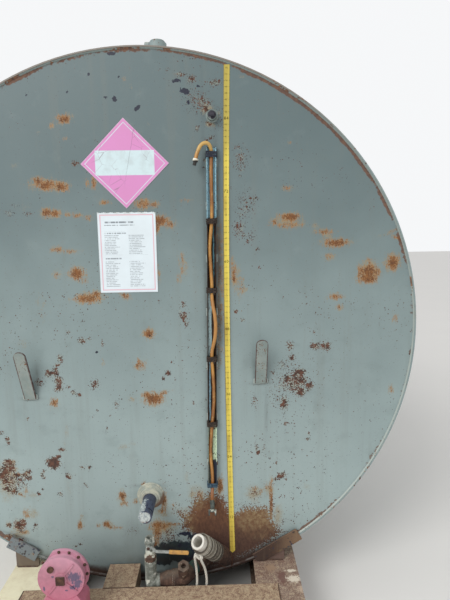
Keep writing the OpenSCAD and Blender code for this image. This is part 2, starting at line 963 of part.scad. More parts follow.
// Height of the ball's middle over the valve's lower end
ball_up = valve_l * 0.65;
pivot_z = valve_z + ball_up;
bonnet_r = 11;
// The stem's inner end and its bore stop this far from the valve's axis
stem_in = 15;
end_hex_l = 16;

// Ball valve, its open end up and its stem towards the front
module valve_body() {
    color(zinc)
        at_wall()
            translate([valve_x, -valve_y, valve_z])
                difference() {
                    union() {
                        cylinder(r = valve_r, h = valve_l);
                        translate([0, 0, ball_up]) sphere(r = valve_r + 5);
                        cylinder(r = valve_r + 3, h = end_hex_l, $fn = 6);
                        translate([0, 0, valve_l - end_hex_l])
                            cylinder(r = valve_r + 3, h = end_hex_l, $fn = 6);
                        translate([0, 0, ball_up]) rod_y(bonnet_r, -lever_off + lever_t + 2, 0);
                    }
                    translate([0, 0, valve_l - port_l])
                        cylinder(r = port_r, h = port_l + over);
                    translate([0, 0, ball_up]) rod_y(stem_r + fit, -lever_off - over, -stem_in);
                }
}

module at_pivot() {
    at_wall() translate([valve_x, -valve_y, pivot_z]) rotate([0, lever_droop, 0]) children();
}

// Where the lever's crank starts and its slope, in degrees
crank_x = 14;
crank_turn = 45;
arm_y = -lever_off - lever_crank;

// Cranked lever with its hub, nut and stem
module valve_lever() {
    half_t = lever_t / 2;
    arm_x = crank_x + lever_crank / tan(crank_turn);
    bend = lever_t * tan(crank_turn / 2);
    color(zinc)
        at_pivot() {
            rod_y(stem_r, -lever_off - 2 * lever_t, -stem_in - 1);
            rod_y(stem_r + 4, -lever_off - lever_t / 2 - 5, -lever_off + lever_t / 2);
            rod_y(stem_r + 3, -lever_off - half_t, -lever_off + half_t);
            translate([0, 0, -lever_w / 2])
                linear_extrude(lever_w)
                    polygon([[0, -lever_off + half_t], [crank_x, -lever_off + half_t],
                             [arm_x, arm_y + half_t], [lever_l, arm_y + half_t], [lever_l, arm_y - half_t],
                             [arm_x - bend, arm_y - half_t], [crank_x - bend, -lever_off - half_t],
                             [0, -lever_off - half_t]]);
        }
}

// Sleeve over the lever's end
module lever_grip() {
    wall = 2.2;
    color([0.80, 0.58, 0.22])
        at_pivot()
            difference() {
                translate([lever_l - grip_l, arm_y - lever_t / 2 - wall, -lever_w / 2 - wall])
                    cube([grip_l + wall, lever_t + 2 * wall, lever_w + 2 * wall]);
                translate([lever_l - grip_l - over, arm_y - (lever_t + fit) / 2, -(lever_w + fit) / 2])
                    cube([grip_l + over + fit / 2, lever_t + fit, lever_w + fit]);
            }
}

module at_gauge() {
    at_wall() translate([gauge_x, 0, 0]) rotate([0, gauge_lean, 0]) children();
}

// Channel, open to the front
module gauge_channel() {
    color([0.55, 0.68, 0.72])
        at_gauge()
            translate([-gauge_w / 2, -gauge_d, gauge_foot])
                difference() {
                    cube([gauge_w, gauge_d - fit, gauge_top - gauge_foot]);
                    translate([gauge_t, -gauge_t, -over])
                        cube([gauge_w - 2 * gauge_t, gauge_d, gauge_top - gauge_foot + 2 * over]);
                }
}

module sight_hose() {
    color([0.80, 0.60, 0.22]) at_wall() tube(hose_route, hose_d / 2, 8);
}

tie_heights = [773, 492, 189, -123, -430, -728];

// Ties round the channel that hold the hose in
module hose_ties() {
    w = gauge_w + 2 * fit;
    color([0.16, 0.15, 0.15])
        at_gauge()
            for (z = tie_heights)
                translate([0, 0, z - tie_h / 2])
                    difference() {
                        translate([-w / 2 - tie_t, -gauge_d - fit - tie_t, 0])
                            cube([w + 2 * tie_t, gauge_d + tie_t, tie_h]);
                        translate([-w / 2, -gauge_d - fit, -over])
                            cube([w, gauge_d + over, tie_h + 2 * over]);
                    }
}

hose_end = hose_route[len(hose_route) - 1];
tip_l = 28;
tip_r = hose_d / 2 + 3.5;

// Fitting on the bent-over end of the hose
module hose_tip() {
    end_dir = route_dir(hose_route, len(hose_route) - 1);
    rim_l = 12;
    step = 4;
    color(white)
        at_wall()
            aim(hose_end + fit * end_dir, hose_end + end_dir)
                rotate_extrude()
                    polygon([[0, 0], [tip_r, 0], [tip_r, rim_l], [tip_r - step, rim_l + 2],
                             [tip_r - step, tip_l], [0, tip_l]]);
}

cock_y = -36;
// Length and inner depth of the cock's bonnet
bonnet_l = 14;
bonnet_in = 6;
wing_t = 4;
wing_h = 9;

// Small cock under the hose, screwed into the end wall
module cock_body() {
    barrel_down = 16;
    barrel_l = 34;
    nut_up = 24;
    color(zinc)
        at_wall()
            translate([cock_x, 0, cock_z])
                difference() {
                    union() {
                        rod_y(7, cock_y, -fit);
                        rod_y(11, -12, -fit, $fn = 6);
                        translate([0, cock_y, -barrel_down]) cylinder(r = cock_r, h = barrel_l);
                        translate([0, cock_y, 0])
                            cylinder(r = hose_d / 2, h = hose_route[0][2] - fit - cock_z);
                        translate([0, cock_y, nut_up]) cylinder(r = cock_r + 1.5, h = 9, $fn = 6);
                        rod_y(cock_r - 2, cock_y - bonnet_l, cock_y);
                    }
                    rod_y(cock_stem_r + fit, cock_y - bonnet_l - over, cock_y - bonnet_in);
                }
}

// Wing handle, its two wings bent down at their ends
module cock_handle() {
    wing_leg_w = 7;
    wing_leg_l = 24;
    color(zinc)
        at_wall()
            translate([cock_x, 0, cock_z]) {
                rod_y(cock_stem_r, cock_y - bonnet_l - 2 * wing_t - 2, cock_y - bonnet_in - 1);
                rod_y(cock_stem_r + 3, cock_y - bonnet_l - 2 * wing_t - 1, cock_y - bonnet_l - 3);
                translate([-wing_w / 2, cock_y - bonnet_l - 2 * wing_t, -wing_h / 2])
                    cube([wing_w, wing_t, wing_h]);
                for (x = [-wing_w / 2, wing_w / 2 - wing_leg_w])
                    translate([x, cock_y - bonnet_l - 2 * wing_t, -wing_leg_l])
                        cube([wing_leg_w, wing_t, wing_leg_l]);
            }
}

// How far aside the middle of the strip is at a height
strip_reach = 1200;
function strip_aside(z) = strip_bow * pow((z - strip_mid) / strip_reach, 2);

// Flat strip with a pointed foot, stuck to the end wall in a slight bow
module scale_strip() {
    chamfer = 12;
    steps = 16;
    edge_z = sqrt(pow(bore_r, 2) - pow(strip_x + strip_bow, 2));
    strip_top = edge_z - strip_top_gap;
    strip_foot = strip_foot_gap - edge_z;
    rise = (strip_top - strip_foot - chamfer) / steps;
    heights = [for (i = [0:steps]) strip_foot + chamfer + rise * i];
    right_edge = [for (z = heights) [strip_aside(z) + strip_w / 2, z]];
    left_edge = [for (i = [steps:-1:0]) [strip_aside(heights[i]) - strip_w / 2, heights[i]]];
    color([0.93, 0.76, 0.10])
        at_wall()
            translate([strip_x, -fit, 0])
                rotate([90, 0, 0])
                    linear_extrude(strip_t)
                        polygon(concat(right_edge, left_edge, [[strip_aside(strip_foot), strip_foot]]));
}

// Half coupling with a square-headed plug
module upper_plug() {
    half_l = 26;
    neck_l = 4;
    square_w = 18;
    square_l = 12;
    color(rusty)
        at_wall()
            translate([plug_x, 0, plug_z]) {
                rod_y(plug_r, -half_l, -fit);
                rod_y(plug_r - 7, -half_l - neck_l, -half_l);
                translate([-square_w / 2, -half_l - neck_l - square_l, -square_w / 2])
                    cube([square_w, square_l, square_w]);
            }
}

// Flat bars welded at their feet, leaning out as hooks
module hook_lug(x, foot_z, h) {
    lean = asin(lug_reach / h);
    translate([x, -fit, foot_z])
        rotate([lean, 0, 0])
            rotate([90, 0, 0])
                linear_extrude(lug_t) {
                    translate([-lug_w / 2, 0]) square([lug_w, h - lug_w / 2]);
                    translate([0, h - lug_w / 2]) circle(d = lug_w);
                }
}

module hook_lugs() {
    color(teal)
        at_wall() {
            hook_lug(lug_right_x, lug_right_z, lug_h);
            hook_lug(lug_left_x, lug_left_z, lug_h + lug_extra);
        }
}

module placard() {
    color(pink)
        at_wall()
            translate([placard_x, -fit, placard_z])
                rotate([90, 45, 0])
                    translate([-placard_w / 2, -placard_w / 2, 0])
                        cube([placard_w, placard_w, sheet_t]);
}

module notice_sheet() {
    notice_off = 3;
    color(white)
        at_wall()
            translate([placard_x - notice_off, -fit, notice_z])
                rotate([90, 0, 0])
                    translate([-notice_w / 2, -notice_h / 2, 0])
                        cube([notice_w, notice_h, sheet_t]);
}

top_z = axis_z + tank_r;

module manway_neck() {
    color(teal)
        difference() {
            union() {
                translate([0, 0, axis_z])
                    cylinder(r = manway_r, h = tank_r + manway_h);
                translate([0, 0, top_z + manway_h - manway_t])
                    cylinder(r = manway_flange_r, h = manway_t);
            }
            translate([0, 0, axis_z - over])
                cylinder(r = manway_r - manway_wall, h = tank_r + manway_h + 2 * over);
            cylinder_along_tank(bore_r, tank_l / 2);
        }
}

module manway_cover() {
    color(teal)
        translate([0, 0, top_z + manway_h + fit])
            cylinder(r = manway_flange_r, h = manway_t);
}

module on_top(y) {
    translate([0, face_y + y, top_z]) children();
}

// Vent pipe with a round hood
module vent() {
    foot_l = 30;
    foot_over = 14;
    hood_over = 22;
    crown_over = 12;
    hood_r = pipe_r + hood_over;
    hood_l = 44;
    crown_r = pipe_r + crown_over;
    crown_l = 12;
    crown_z = vent_h - crown_l;
    color(teal)
        difference() {
            on_top(vent_in) {
                translate([0, 0, -over]) cylinder(r = pipe_r + foot_over, h = foot_l + over);
                cylinder(r = pipe_r, h = crown_z);
                translate([0, 0, crown_z - hood_l]) cylinder(r = hood_r, h = hood_l);
                translate([0, 0, crown_z]) cylinder(r = crown_r, h = crown_l);
            }
            cylinder_along_tank(tank_r + fit, tank_l);
        }
}

// Filling pipe with its cap
module fill_pipe() {
    foot_l = 34;
    foot_over = 12;
    cap_h = 40;
    cap_over = 9;
    key_l = 120;
    key_w = 20;
    key_h = 14;
    color(teal)
        difference() {
            on_top(fill_in) {
                translate([0, 0, -over]) cylinder(r = fill_r + foot_over, h = foot_l + over);
                cylinder(r = fill_r, h = fill_h - cap_h / 2);
                translate([0, 0, fill_h - cap_h]) cylinder(r = fill_r + cap_over, h = cap_h);
                translate([-key_l / 2, -key_w / 2, fill_h]) cube([key_l, key_w, key_h]);
            }
            cylinder_along_tank(tank_r + fit, tank_l);
        }
}

module lifting_lugs() {
    color(teal)
        for (y = [face_y + lift_in, -face_y - lift_in])
            translate([lift_t / 2, y, top_z + fit])
                rotate([90, 0, -90])
                    linear_extrude(lift_t)
                        difference() {
                            union() {
                                translate([-lift_w / 2, 0]) square([lift_w, lift_h]);
                                translate([0, lift_h]) circle(d = lift_w * 0.75);
                            }
                            translate([0, lift_h]) circle(r = lift_hole_r);
                        }
}

front_head();
rear_head();
rim_welds();
shell_front_course();
shell_middle_course();
shell_rear_course();
girth_welds();
runner_left();
runner_right();
front_cross_beam();
rear_cross_beam();
cross_members();
saddle_plates();
saddle_bars();
saddle_wedges();
stub_channel();
pump_body();
pump_cover();
pump_plugs();
pump_foot();
nozzle_collar();
nozzle_pipe();
outlet_coupling();
spout_boss();
spout_pipe();
rope_coil();
rope_tail_left();
rope_tail_right();
branch_pipe();
side_tee();
bell_reducer();
pipe_elbow();
valve_reducer();
valve_body();
valve_lever();
lever_grip();
gauge_channel();
sight_hose();
hose_ties();
hose_tip();
cock_body();
cock_handle();
scale_strip();
upper_plug();
hook_lugs();
placard();
notice_sheet();
manway_neck();
manway_cover();
vent();
fill_pipe();
lifting_lugs();
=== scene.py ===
"""Looks of a flat-ended horizontal storage tank on its skid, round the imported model."""
import json
import math

import bpy
import numpy as np
from bpy.props import FloatProperty, FloatVectorProperty, IntProperty, PointerProperty
from bpy.types import Operator, Panel, PropertyGroup
from mathutils import Color, Matrix, Vector


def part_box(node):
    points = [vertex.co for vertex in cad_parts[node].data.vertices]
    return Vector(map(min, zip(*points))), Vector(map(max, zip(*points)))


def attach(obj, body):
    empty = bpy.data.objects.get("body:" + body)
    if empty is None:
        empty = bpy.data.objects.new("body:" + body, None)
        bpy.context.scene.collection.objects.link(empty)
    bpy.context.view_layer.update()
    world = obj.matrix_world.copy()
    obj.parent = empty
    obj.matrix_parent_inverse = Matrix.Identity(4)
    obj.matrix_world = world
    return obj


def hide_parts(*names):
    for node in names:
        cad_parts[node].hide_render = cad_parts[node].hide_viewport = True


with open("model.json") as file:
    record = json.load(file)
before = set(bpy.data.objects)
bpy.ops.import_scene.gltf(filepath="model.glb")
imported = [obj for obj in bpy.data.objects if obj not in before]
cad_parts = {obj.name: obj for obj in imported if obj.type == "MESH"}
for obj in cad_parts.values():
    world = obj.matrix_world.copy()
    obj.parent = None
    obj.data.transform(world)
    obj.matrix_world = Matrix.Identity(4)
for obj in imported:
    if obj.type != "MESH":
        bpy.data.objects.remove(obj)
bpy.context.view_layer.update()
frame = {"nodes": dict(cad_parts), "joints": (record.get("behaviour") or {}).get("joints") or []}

bl_info = {
    "name": "Storage tank looks",
    "version": (1, 0, 0),
    "blender": (4, 5, 0),
    "location": "3D View > Sidebar > Tank",
    "description": "Paint, rust, rope, signs and small fittings of a storage tank",
    "category": "Object",
}

MM = 0.001
NODES = frame["nodes"]
WALL_LOW, WALL_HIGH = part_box("front_head")
FACE_Y = WALL_LOW.y
AXIS_Z = (WALL_LOW.z + WALL_HIGH.z) / 2
WALL_R = (WALL_HIGH.x - WALL_LOW.x) / 2
SHELL_R = (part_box("shell_front_course")[1].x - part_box("shell_front_course")[0].x) / 2
DECK_Z = (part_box("runner_right")[1].z - AXIS_Z) / MM
REAR_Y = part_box("rear_head")[1].y
SMALL = 1e-9


def at_wall(x, y, z):
    """A place in metres, from millimetres measured from the end wall's face and the tank's axis."""
    return Vector((x * MM, FACE_Y + y * MM, AXIS_Z + z * MM))


# Places on the end wall, in millimetres from its middle
SPOUT_FOOT = Vector((313.0, -16.0, DECK_Z + 39.0))
SPOUT_LEAN, SPOUT_TURN = math.radians(45.5), math.radians(-124)
SPOUT_DIR = Vector((math.sin(SPOUT_LEAN) * math.cos(SPOUT_TURN),
                    math.sin(SPOUT_LEAN) * math.sin(SPOUT_TURN), math.cos(SPOUT_LEAN)))
SPOUT_R, SPOUT_L = 32.0, 254.0
WIND_FROM, WIND_TO, WIND_TURNS = 58.0, 232.0, 15
TAIL_LEFT = [(-110, -145, 118.8), (-114, -148, 113), (-116, -149.5, 104), (-115, -148, 88),
             (-113, -143, 64), (-111, -136, 38), (-110, -133, 12), (-109, -132, -16), (-111, -132, -46)]
TAIL_RIGHT = [(-89, -147.6, 108.8), (-89.5, -152, 103.5), (-88, -154.5, 94), (-83, -152, 78),
              (-76, -144, 54), (-71, -137, 30), (-68, -133, 6), (-66, -132, -18), (-67, -132, -46)]
ROPE_LAY, TAIL_SOIL = 0.042, -0.15
HOSE_ROUTE = [(277, -36, -790), (277, -36, -776), (278, -30, -762), (279, -19, -746), (280, -14, -730),
              (280.5, -14, -700), (278.5, -14, -652), (274.5, -14, -606), (273.5, -14, -558), (276.5, -14, -512),
              (281, -14, -462), (284, -14, -430), (289, -14, -383), (294, -14, -328), (294.5, -14, -283),
              (295, -14, -248), (292, -14, -187), (289.5, -14, -146), (288.5, -14, -110), (290.5, -16.5, -84),
              (297, -24, -55), (302, -30, -33), (305.5, -33.5, -11), (308, -35, 33), (305.5, -33.5, 76),
              (302, -30, 98), (297.5, -24, 122), (294.5, -16, 152), (294, -14, 178), (294.5, -14, 224),
              (291, -14, 295), (287.7, -14, 364), (291.5, -14, 420), (296.5, -14, 461), (299, -14, 492),
              (300.5, -14, 516), (301, -14, 569), (300.5, -14, 624), (301, -14, 699), (302, -14, 750),
              (303, -14, 777), (302.5, -16, 789), (300, -21.5, 800), (296, -27.5, 808.5), (289, -32, 815),
              (279, -35, 817), (267, -37, 813), (256, -39, 802), (248, -40, 786), (241, -40, 768), (237, -40, 752)]
HOSE_R = 8.0
GAUGE_X, GAUGE_W, GAUGE_D, GAUGE_LEAN = 291.0, 41.0, 25.0, math.radians(0.9)
TIE_HEIGHTS = (773, 492, 189, -123, -430, -728)
INCH, FIRST_INCH, STRIP_MARGIN = 25.4, 5, 8.0
BROWN, DEEP_BROWN, DUSTY = (0.31, 0.19, 0.145), (0.22, 0.14, 0.115), (0.72, 0.69, 0.62)
STRIP_X, STRIP_W, STRIP_BOW, STRIP_MID, STRIP_REACH = 359.5, 25.0, 14.5, -80.0, 1200.0
PLACARD = Vector((-70.0, 742.0))
PLACARD_W = 268.0
NOTICE = Vector((-73.0, 361.0))
NOTICE_W, NOTICE_H = 254.0, 352.0
NOZZLE = Vector((-14.0, DECK_Z + 344.3))
UPPER_PLUG = Vector((309.0, 934.0))
LUGS = ((510.0, -241.0), (-543.0, -294.0))
LUG_W = 53.0
PUMP = Vector((-333.0, DECK_Z + 190.0))
PUMP_FACE = -335.0
VALVE = Vector((-6.0, -128.0))
OUTLET = Vector((234.0, 0.0, DECK_Z + 11.0))
TEE = Vector((140.0, -112.0, DECK_Z + 9.0))


def strip_middle(z):
    """The strip's middle at a height: it bows a little to the right towards its ends."""
    return STRIP_X + STRIP_BOW * ((z - STRIP_MID) / STRIP_REACH) ** 2


def gauge_x(z):
    """Middle of the leaning gauge at a height."""
    return GAUGE_X + z * math.tan(GAUGE_LEAN)


def colour_prop(name, description, default):
    return FloatVectorProperty(name=name, description=description, subtype="COLOR_GAMMA",
                               size=3, min=0.0, max=1.0, default=default)


def length_prop(name, description, default):
    return FloatProperty(name=name, description=description, default=default, min=0.0,
                         subtype="DISTANCE", unit="LENGTH", precision=4)


class TankPaintSettings(PropertyGroup):
    # Upper and lower paint: the wall is darker towards the top and lighter towards the bottom, partly faded paint
    # and partly painted light from the ground.
    upper: colour_prop("Upper paint", "Paint near the top of the end wall", (0.36, 0.425, 0.435))
    lower: colour_prop("Lower paint", "Paint near the bottom of the end wall", (0.60, 0.665, 0.665))
    shell: colour_prop("Shell paint", "Paint on the shell and the top fittings", (0.50, 0.565, 0.57))
    tan: colour_prop("Tan stain", "Thin stain round rust", (0.575, 0.52, 0.405))
    orange: colour_prop("Bright rust", "Fresh rust", (0.54, 0.35, 0.21))
    brown: colour_prop("Dark rust", "Old rust", (0.31, 0.19, 0.145))
    navy: colour_prop("Older paint", "Navy paint that shows in chips", (0.065, 0.09, 0.17))


class FittingSettings(PropertyGroup):
    pump: colour_prop("Pump paint", "Pink paint of the pump", (0.72, 0.49, 0.555))
    cream: colour_prop("Cream paint", "Paint of the upper nozzle's rings", (0.72, 0.72, 0.66))
    navy: colour_prop("Navy paint", "Paint of the nozzle's pipe", (0.25, 0.28, 0.36))
    green: colour_prop("Green paint", "Paint of the branch pipe", (0.13, 0.34, 0.25))
    zinc: colour_prop("Galvanised", "Dull zinc on the valve and the elbow", (0.58, 0.60, 0.575))
    iron: colour_prop("Rusty iron", "Rusty cast iron of tee and reducers", (0.37, 0.275, 0.225))
    hose: colour_prop("Hose", "Yellowed clear hose", (0.72, 0.525, 0.27))
    strip: colour_prop("Strip", "Yellow of the scale strip", (0.84, 0.76, 0.31))
    placard: colour_prop("Placard", "Faded pink of the placard", (0.82, 0.54, 0.75))
    sheet: colour_prop("Notice sheet", "White of the notice sheet", (0.85, 0.895, 0.92))
    rope: colour_prop("Rope", "Weathered white rope", (0.85, 0.84, 0.80))
    grip: colour_prop("Grip", "Worn orange-yellow vinyl", (0.76, 0.58, 0.31))


class SkidSettings(PropertyGroup):
    red: colour_prop("Red oxide", "Primer on the right runner", (0.48, 0.375, 0.325))
    tan: colour_prop("Dusty tan", "Dusty paint of the front beam", (0.65, 0.545, 0.45))
    # Pale dusty paint of the left runner, made paler to stand for sunlight on it: partly painted light.
    pale: colour_prop("Pale paint", "Pale paint of the left runner", (0.90, 0.87, 0.75))


class TankSizeSettings(PropertyGroup):
    rope: length_prop("Rope", "Diameter of the rope", 0.011)
    wall_steps: IntProperty(name="Wall grid", description="Squares along the end wall's grid",
                            default=280, min=60, max=300)
    wall_sway: length_prop("Wall sway", "Depth of the end wall's dents", 0.0012)
    bead: length_prop("Weld bead", "Radius of the small weld beads", 0.0045)
    manway_bolts: IntProperty(name="Manway bolts", description="Bolts round the manway's cover",
                              default=20, min=8, max=32)


class StageSettings(PropertyGroup):
    floor: colour_prop("Floor", "Pale floor", (0.90, 0.895, 0.885))
    sky: FloatProperty(name="Sky", description="Strength of the even light", default=0.78, min=0.0)
    key: FloatProperty(name="Key light", description="Power of the soft light at the upper left",
                       default=620.0, min=0.0, unit="POWER")
    lens: FloatProperty(name="Lens", description="Focal length in millimetres", default=36.0, min=1.0)
    place: FloatVectorProperty(name="Camera", description="Place of the camera", subtype="TRANSLATION",
                               unit="LENGTH", size=3, default=(0.315, -4.4345, 1.7743))
    pitch: FloatProperty(name="Pitch", description="Camera's slope", subtype="ANGLE", default=math.radians(-7.32))
    yaw: FloatProperty(name="Yaw", description="Camera's turn", subtype="ANGLE", default=math.radians(-1.06))
    roll: FloatProperty(name="Roll", description="Camera's roll", subtype="ANGLE", default=math.radians(-0.9))


def linear(colour):
    """A colour as written in a paint chart, as the scene-linear value that a socket takes."""
    return (*Color(colour).from_srgb_to_scene_linear(), 1.0)


class Nodes:
    """Adds shader nodes to one tree in short calls. Its textures follow place."""

    def __init__(self, tree, place=None):
        self.tree, self.place = tree, place

    def fill(self, node, inputs):
        """Links or sets a node's inputs. Plain colours are as in a paint chart."""
        for key, value in inputs.items():
            socket = node.inputs[key]
            if isinstance(value, bpy.types.NodeSocket):
                self.tree.links.new(value, socket)
            else:
                socket.default_value = linear(value) if socket.type == "RGBA" else value
        return node

    def make(self, kind, inputs=None, **settings):
        node = self.tree.nodes.new("ShaderNode" + kind)
        for name, value in settings.items():
            setattr(node, name, value)
        return self.fill(node, inputs or {})

    def group(self, name, **inputs):
        """Outputs of a shared effect, at this place."""
        node = self.make("Group", node_tree=bpy.data.node_groups.get(name) or GROUPS[name]())
        if "Vector" in node.inputs:
            inputs["Vector"] = self.place
        return self.fill(node, inputs).outputs

    def mask(self, name, **inputs):
        """First output of a shared effect."""
        return self.group(name, **inputs)[0]

    def math(self, operation, first, *others):
        for other in others:
            first = self.make("Math", {0: first, 1: other}, operation=operation).outputs[0]
        return first

    def sum(self, *values):
        return self.math("ADD", *values)

    def less(self, *values):
        return self.math("SUBTRACT", *values)

    def times(self, *values):
        return self.math("MULTIPLY", *values)

    def most(self, *values):
        return self.math("MAXIMUM", *values)

    def size(self, value):
        return self.math("ABSOLUTE", value, 0.0)

    def mix(self, factor, a, b):
        return self.make("Mix", {0: factor, 6: a, 7: b}, data_type="RGBA").outputs[2]

    def ramp(self, value, low, high, to_low=0.0, to_high=1.0):
        """Rises smoothly from to_low to to_high as value goes from low to high."""
        ins = {"Value": value, "From Min": low, "From Max": high, "To Min": to_low, "To Max": to_high}
        return self.make("MapRange", ins, interpolation_type="SMOOTHSTEP").outputs["Result"]

    def span(self, value, low, high, soft):
        """1 between low and high."""
        return self.times(self.ramp(value, low - soft, low + soft), self.ramp(value, high + soft, high - soft))

    def vector_math(self, operation, a, b):
        return self.make("VectorMath", {0: a, 1: b}, operation=operation).outputs

    def noise(self, scale, detail=3.0, rough=0.55, tall=1.0, vector=None):
        """Noise at the place, or at another vector. With tall under 1 it is drawn out upwards."""
        vector = vector or self.place
        if tall != 1.0:
            vector = self.vector_math("MULTIPLY", vector, (1.0, 1.0, tall))[0]
        ins = {"Vector": vector, "Scale": scale, "Detail": detail, "Roughness": rough}
        return self.make("TexNoise", ins).outputs["Fac"]

    def off_half(self, scale, detail=4.0, rough=0.65, tall=1.0):
        """Noise that swings about zero."""
        return self.less(self.noise(scale, detail, rough, tall), 0.5)

    def split(self, vector=None):
        return self.make("SeparateXYZ", {0: vector or self.place}).outputs

    def normal(self):
        return self.make("NewGeometry").outputs["Normal"]

    def value_of(self, attribute):
        return self.make("Attribute", attribute_name=attribute).outputs["Fac"]


GROUPS = {}


def shared(*outputs, **inputs):
    """Turns an effect that several finishes use into a shader node group, built at its first use."""
    colours = ("Dark", "Bright", "Color")

    def add(tree, label, in_out):
        kind = "Vector" if label == "Vector" else "Color" if label in colours else "Float"
        return tree.interface.new_socket(name=label, in_out=in_out, socket_type="NodeSocket" + kind)

    def keep(effect):
        def build():
            tree = bpy.data.node_groups.new(effect.__name__, "ShaderNodeTree")
            for label, default in inputs.items():
                socket = add(tree, label, "INPUT")
                if default is not None:
                    socket.default_value = default
            for label in outputs:
                add(tree, label, "OUTPUT")
            given = tree.nodes.new("NodeGroupInput").outputs
            n = Nodes(tree, given.get("Vector"))
            made = effect(n, *[given[label] for label in inputs if label != "Vector"])
            n.fill(tree.nodes.new("NodeGroupOutput"), dict(zip(outputs, made)))
            return tree

        GROUPS[effect.__name__] = build
        return effect

    return keep


@shared("Mask", Vector=None, Mask=0.5, Scale=60.0, Breakup=1.0)
def broken_edge(n, mask, scale, breakup):
    """Turns a soft mask into one with a ragged, crisp edge."""
    return [n.ramp(n.sum(mask, n.times(n.off_half(scale), breakup)), 0.45, 0.57)]


@shared("Color", "Height", Vector=None, Scale=40.0, Dark=None, Bright=None)
def rust_tones(n, scale, dark, bright):
    """Rust that runs from dark to bright in blotches and fine grains."""
    fine = n.noise(n.times(scale, 5.3), 3.0, 0.7)
    level = n.sum(n.times(n.noise(scale, 4.0, 0.6), 0.65), n.times(fine, 0.35))
    return n.mix(n.ramp(level, 0.4, 0.62), dark, bright), level


@shared("Mask", Vector=None, Density=0.3, Scale=90.0)
def specks(n, density, scale):
    """Small chips, more and larger where the density is higher."""
    warp = n.make("TexNoise", {"Vector": n.place, "Scale": scale, "Detail": 2.0}).outputs["Color"]
    bend = n.make("VectorMath", {0: warp, "Scale": 0.012}, operation="SCALE").outputs[0]
    ins = {"Vector": n.vector_math("ADD", n.place, bend)[0], "Scale": scale}
    spots = n.make("TexVoronoi", ins).outputs["Distance"]
    size = n.times(density, n.ramp(n.noise(n.times(scale, 0.42), 2.0), 0.36, 0.68, 0.05, 0.95))
    return [n.ramp(n.less(size, spots), 0.0, 0.09)]


@shared("Mask", Vector=None, Radius=0.002, Scale=70.0, Amount=0.5)
def edge_wear(n, radius, scale, amount):
    """Worn places along edges, from how a rounded normal differs from the real one."""
    soft = n.make("Bevel", {"Radius": radius}, samples=4).outputs["Normal"]
    same = n.vector_math("DOT_PRODUCT", soft, n.normal())["Value"]
    chips = n.ramp(n.sum(n.noise(scale, 3.0, 0.7), amount), 0.9, 1.05)
    return [n.times(n.ramp(n.less(1.0, same), 0.02, 0.2), chips)]


@shared("Mask", Vector=None, Scale=20.0, Amount=0.5)
def settled_dust(n, scale, amount):
    """Dust on what faces up."""
    cloud = n.ramp(n.noise(scale, 4.0, 0.6), 0.3, 0.7, 0.35, 1.0)
    return [n.times(n.ramp(n.split(n.normal())["Z"], 0.35, 0.95), cloud, amount)]


@shared("Mask", Vector=None, Scale=30.0)
def streaks(n, scale):
    """Long faint runs down a surface."""
    return [n.ramp(n.noise(scale, 3.0, 0.6, 0.05), 0.5, 0.72)]


@shared("Height", Vector=None, Scale=300.0)
def grain(n, scale):
    """Fine unevenness of a coat or a casting, for a bump."""
    return [n.sum(n.times(n.noise(scale, 3.0, 0.6), 0.5), n.noise(n.times(scale, 0.16), 2.0))]


@shared("Mask", Vector=None)
def low_edge_rust_and_shade(n):
    """The rim's dark foot, dark brown rust at the right and grime with painted shade along the very bottom: higher
    up at the right of the spout than at the left.
    """
    xyz = n.split()
    right = n.times(n.span(xyz["X"], 0.10, 0.60, 0.03), n.ramp(xyz["Z"], AXIS_Z - 0.9, AXIS_Z - 1.0))
    return [n.most(right, n.ramp(xyz["Z"], AXIS_Z - 1.05, AXIS_Z - 1.11))]


@shared("Color", Vector=None, Color=None)
def speckle(n, colour):
    """Coarse and fine speckle of dust, primer and rust, on what the weather reaches."""
    coarse, fine = n.noise(48.0, 5.0, 0.75), n.noise(210.0, 3.0, 0.7)
    for value, low, high, most, tone in (
            (coarse, 0.50, 0.58, 0.62, (0.46, 0.33, 0.28)), (coarse, 0.46, 0.39, 0.55, (0.76, 0.69, 0.58)),
            (fine, 0.53, 0.61, 0.6, (0.34, 0.25, 0.21)), (fine, 0.45, 0.37, 0.55, (0.80, 0.73, 0.63))):
        colour = n.mix(n.ramp(value, low, high, 0.0, most), colour, tone)
    return [colour]


@shared("X", "Z", "Radius", Vector=None, Mid_X=0.0, Mid_Z=0.0)
def from_middle(n, mid_x, mid_z):
    """How far a place is from a point of the end wall: across, up and straight."""
    xyz = n.split()
    x, z = n.less(xyz["X"], mid_x), n.less(xyz["Z"], mid_z)
    return x, z, n.math("SQRT", n.sum(n.times(x, x), n.times(z, z)), 0.0)


@shared("Mask", X=0.0, Y=0.0, Mid_X=0.0, Mid_Y=0.0, Half_W=1.0, Half_H=1.0, Ragged=0.0)
def oval(n, x, y, mid_x, mid_y, half_w, half_h, ragged):
    """1 inside an oval, with an edge that ragged shifts."""
    u = n.math("DIVIDE", n.less(x, mid_x), half_w)
    w = n.math("DIVIDE", n.less(y, mid_y), half_h)
    far = n.math("SQRT", n.sum(n.times(u, u), n.times(w, w)), 0.0)
    return [n.ramp(n.sum(far, ragged), 1.15, 0.85)]


@shared("Mask", Value=0.0, Centre=0.0, Half=1.0, Soft=0.6)
def line(n, value, centre, half, soft):
    """1 where a value is within half of centre."""
    return [n.ramp(n.size(n.less(value, centre)), n.sum(half, soft), n.less(half, soft))]


@shared("Color", Vector=None, Bright=None, Dark=None)
def faded_print(n, bright, dark):
    """A printed sheet's ground, soiled in clouds."""
    return [n.mix(n.ramp(n.noise(9.0, 4.0, 0.6), 0.35, 0.7, 0.0, 0.3), bright, dark)]


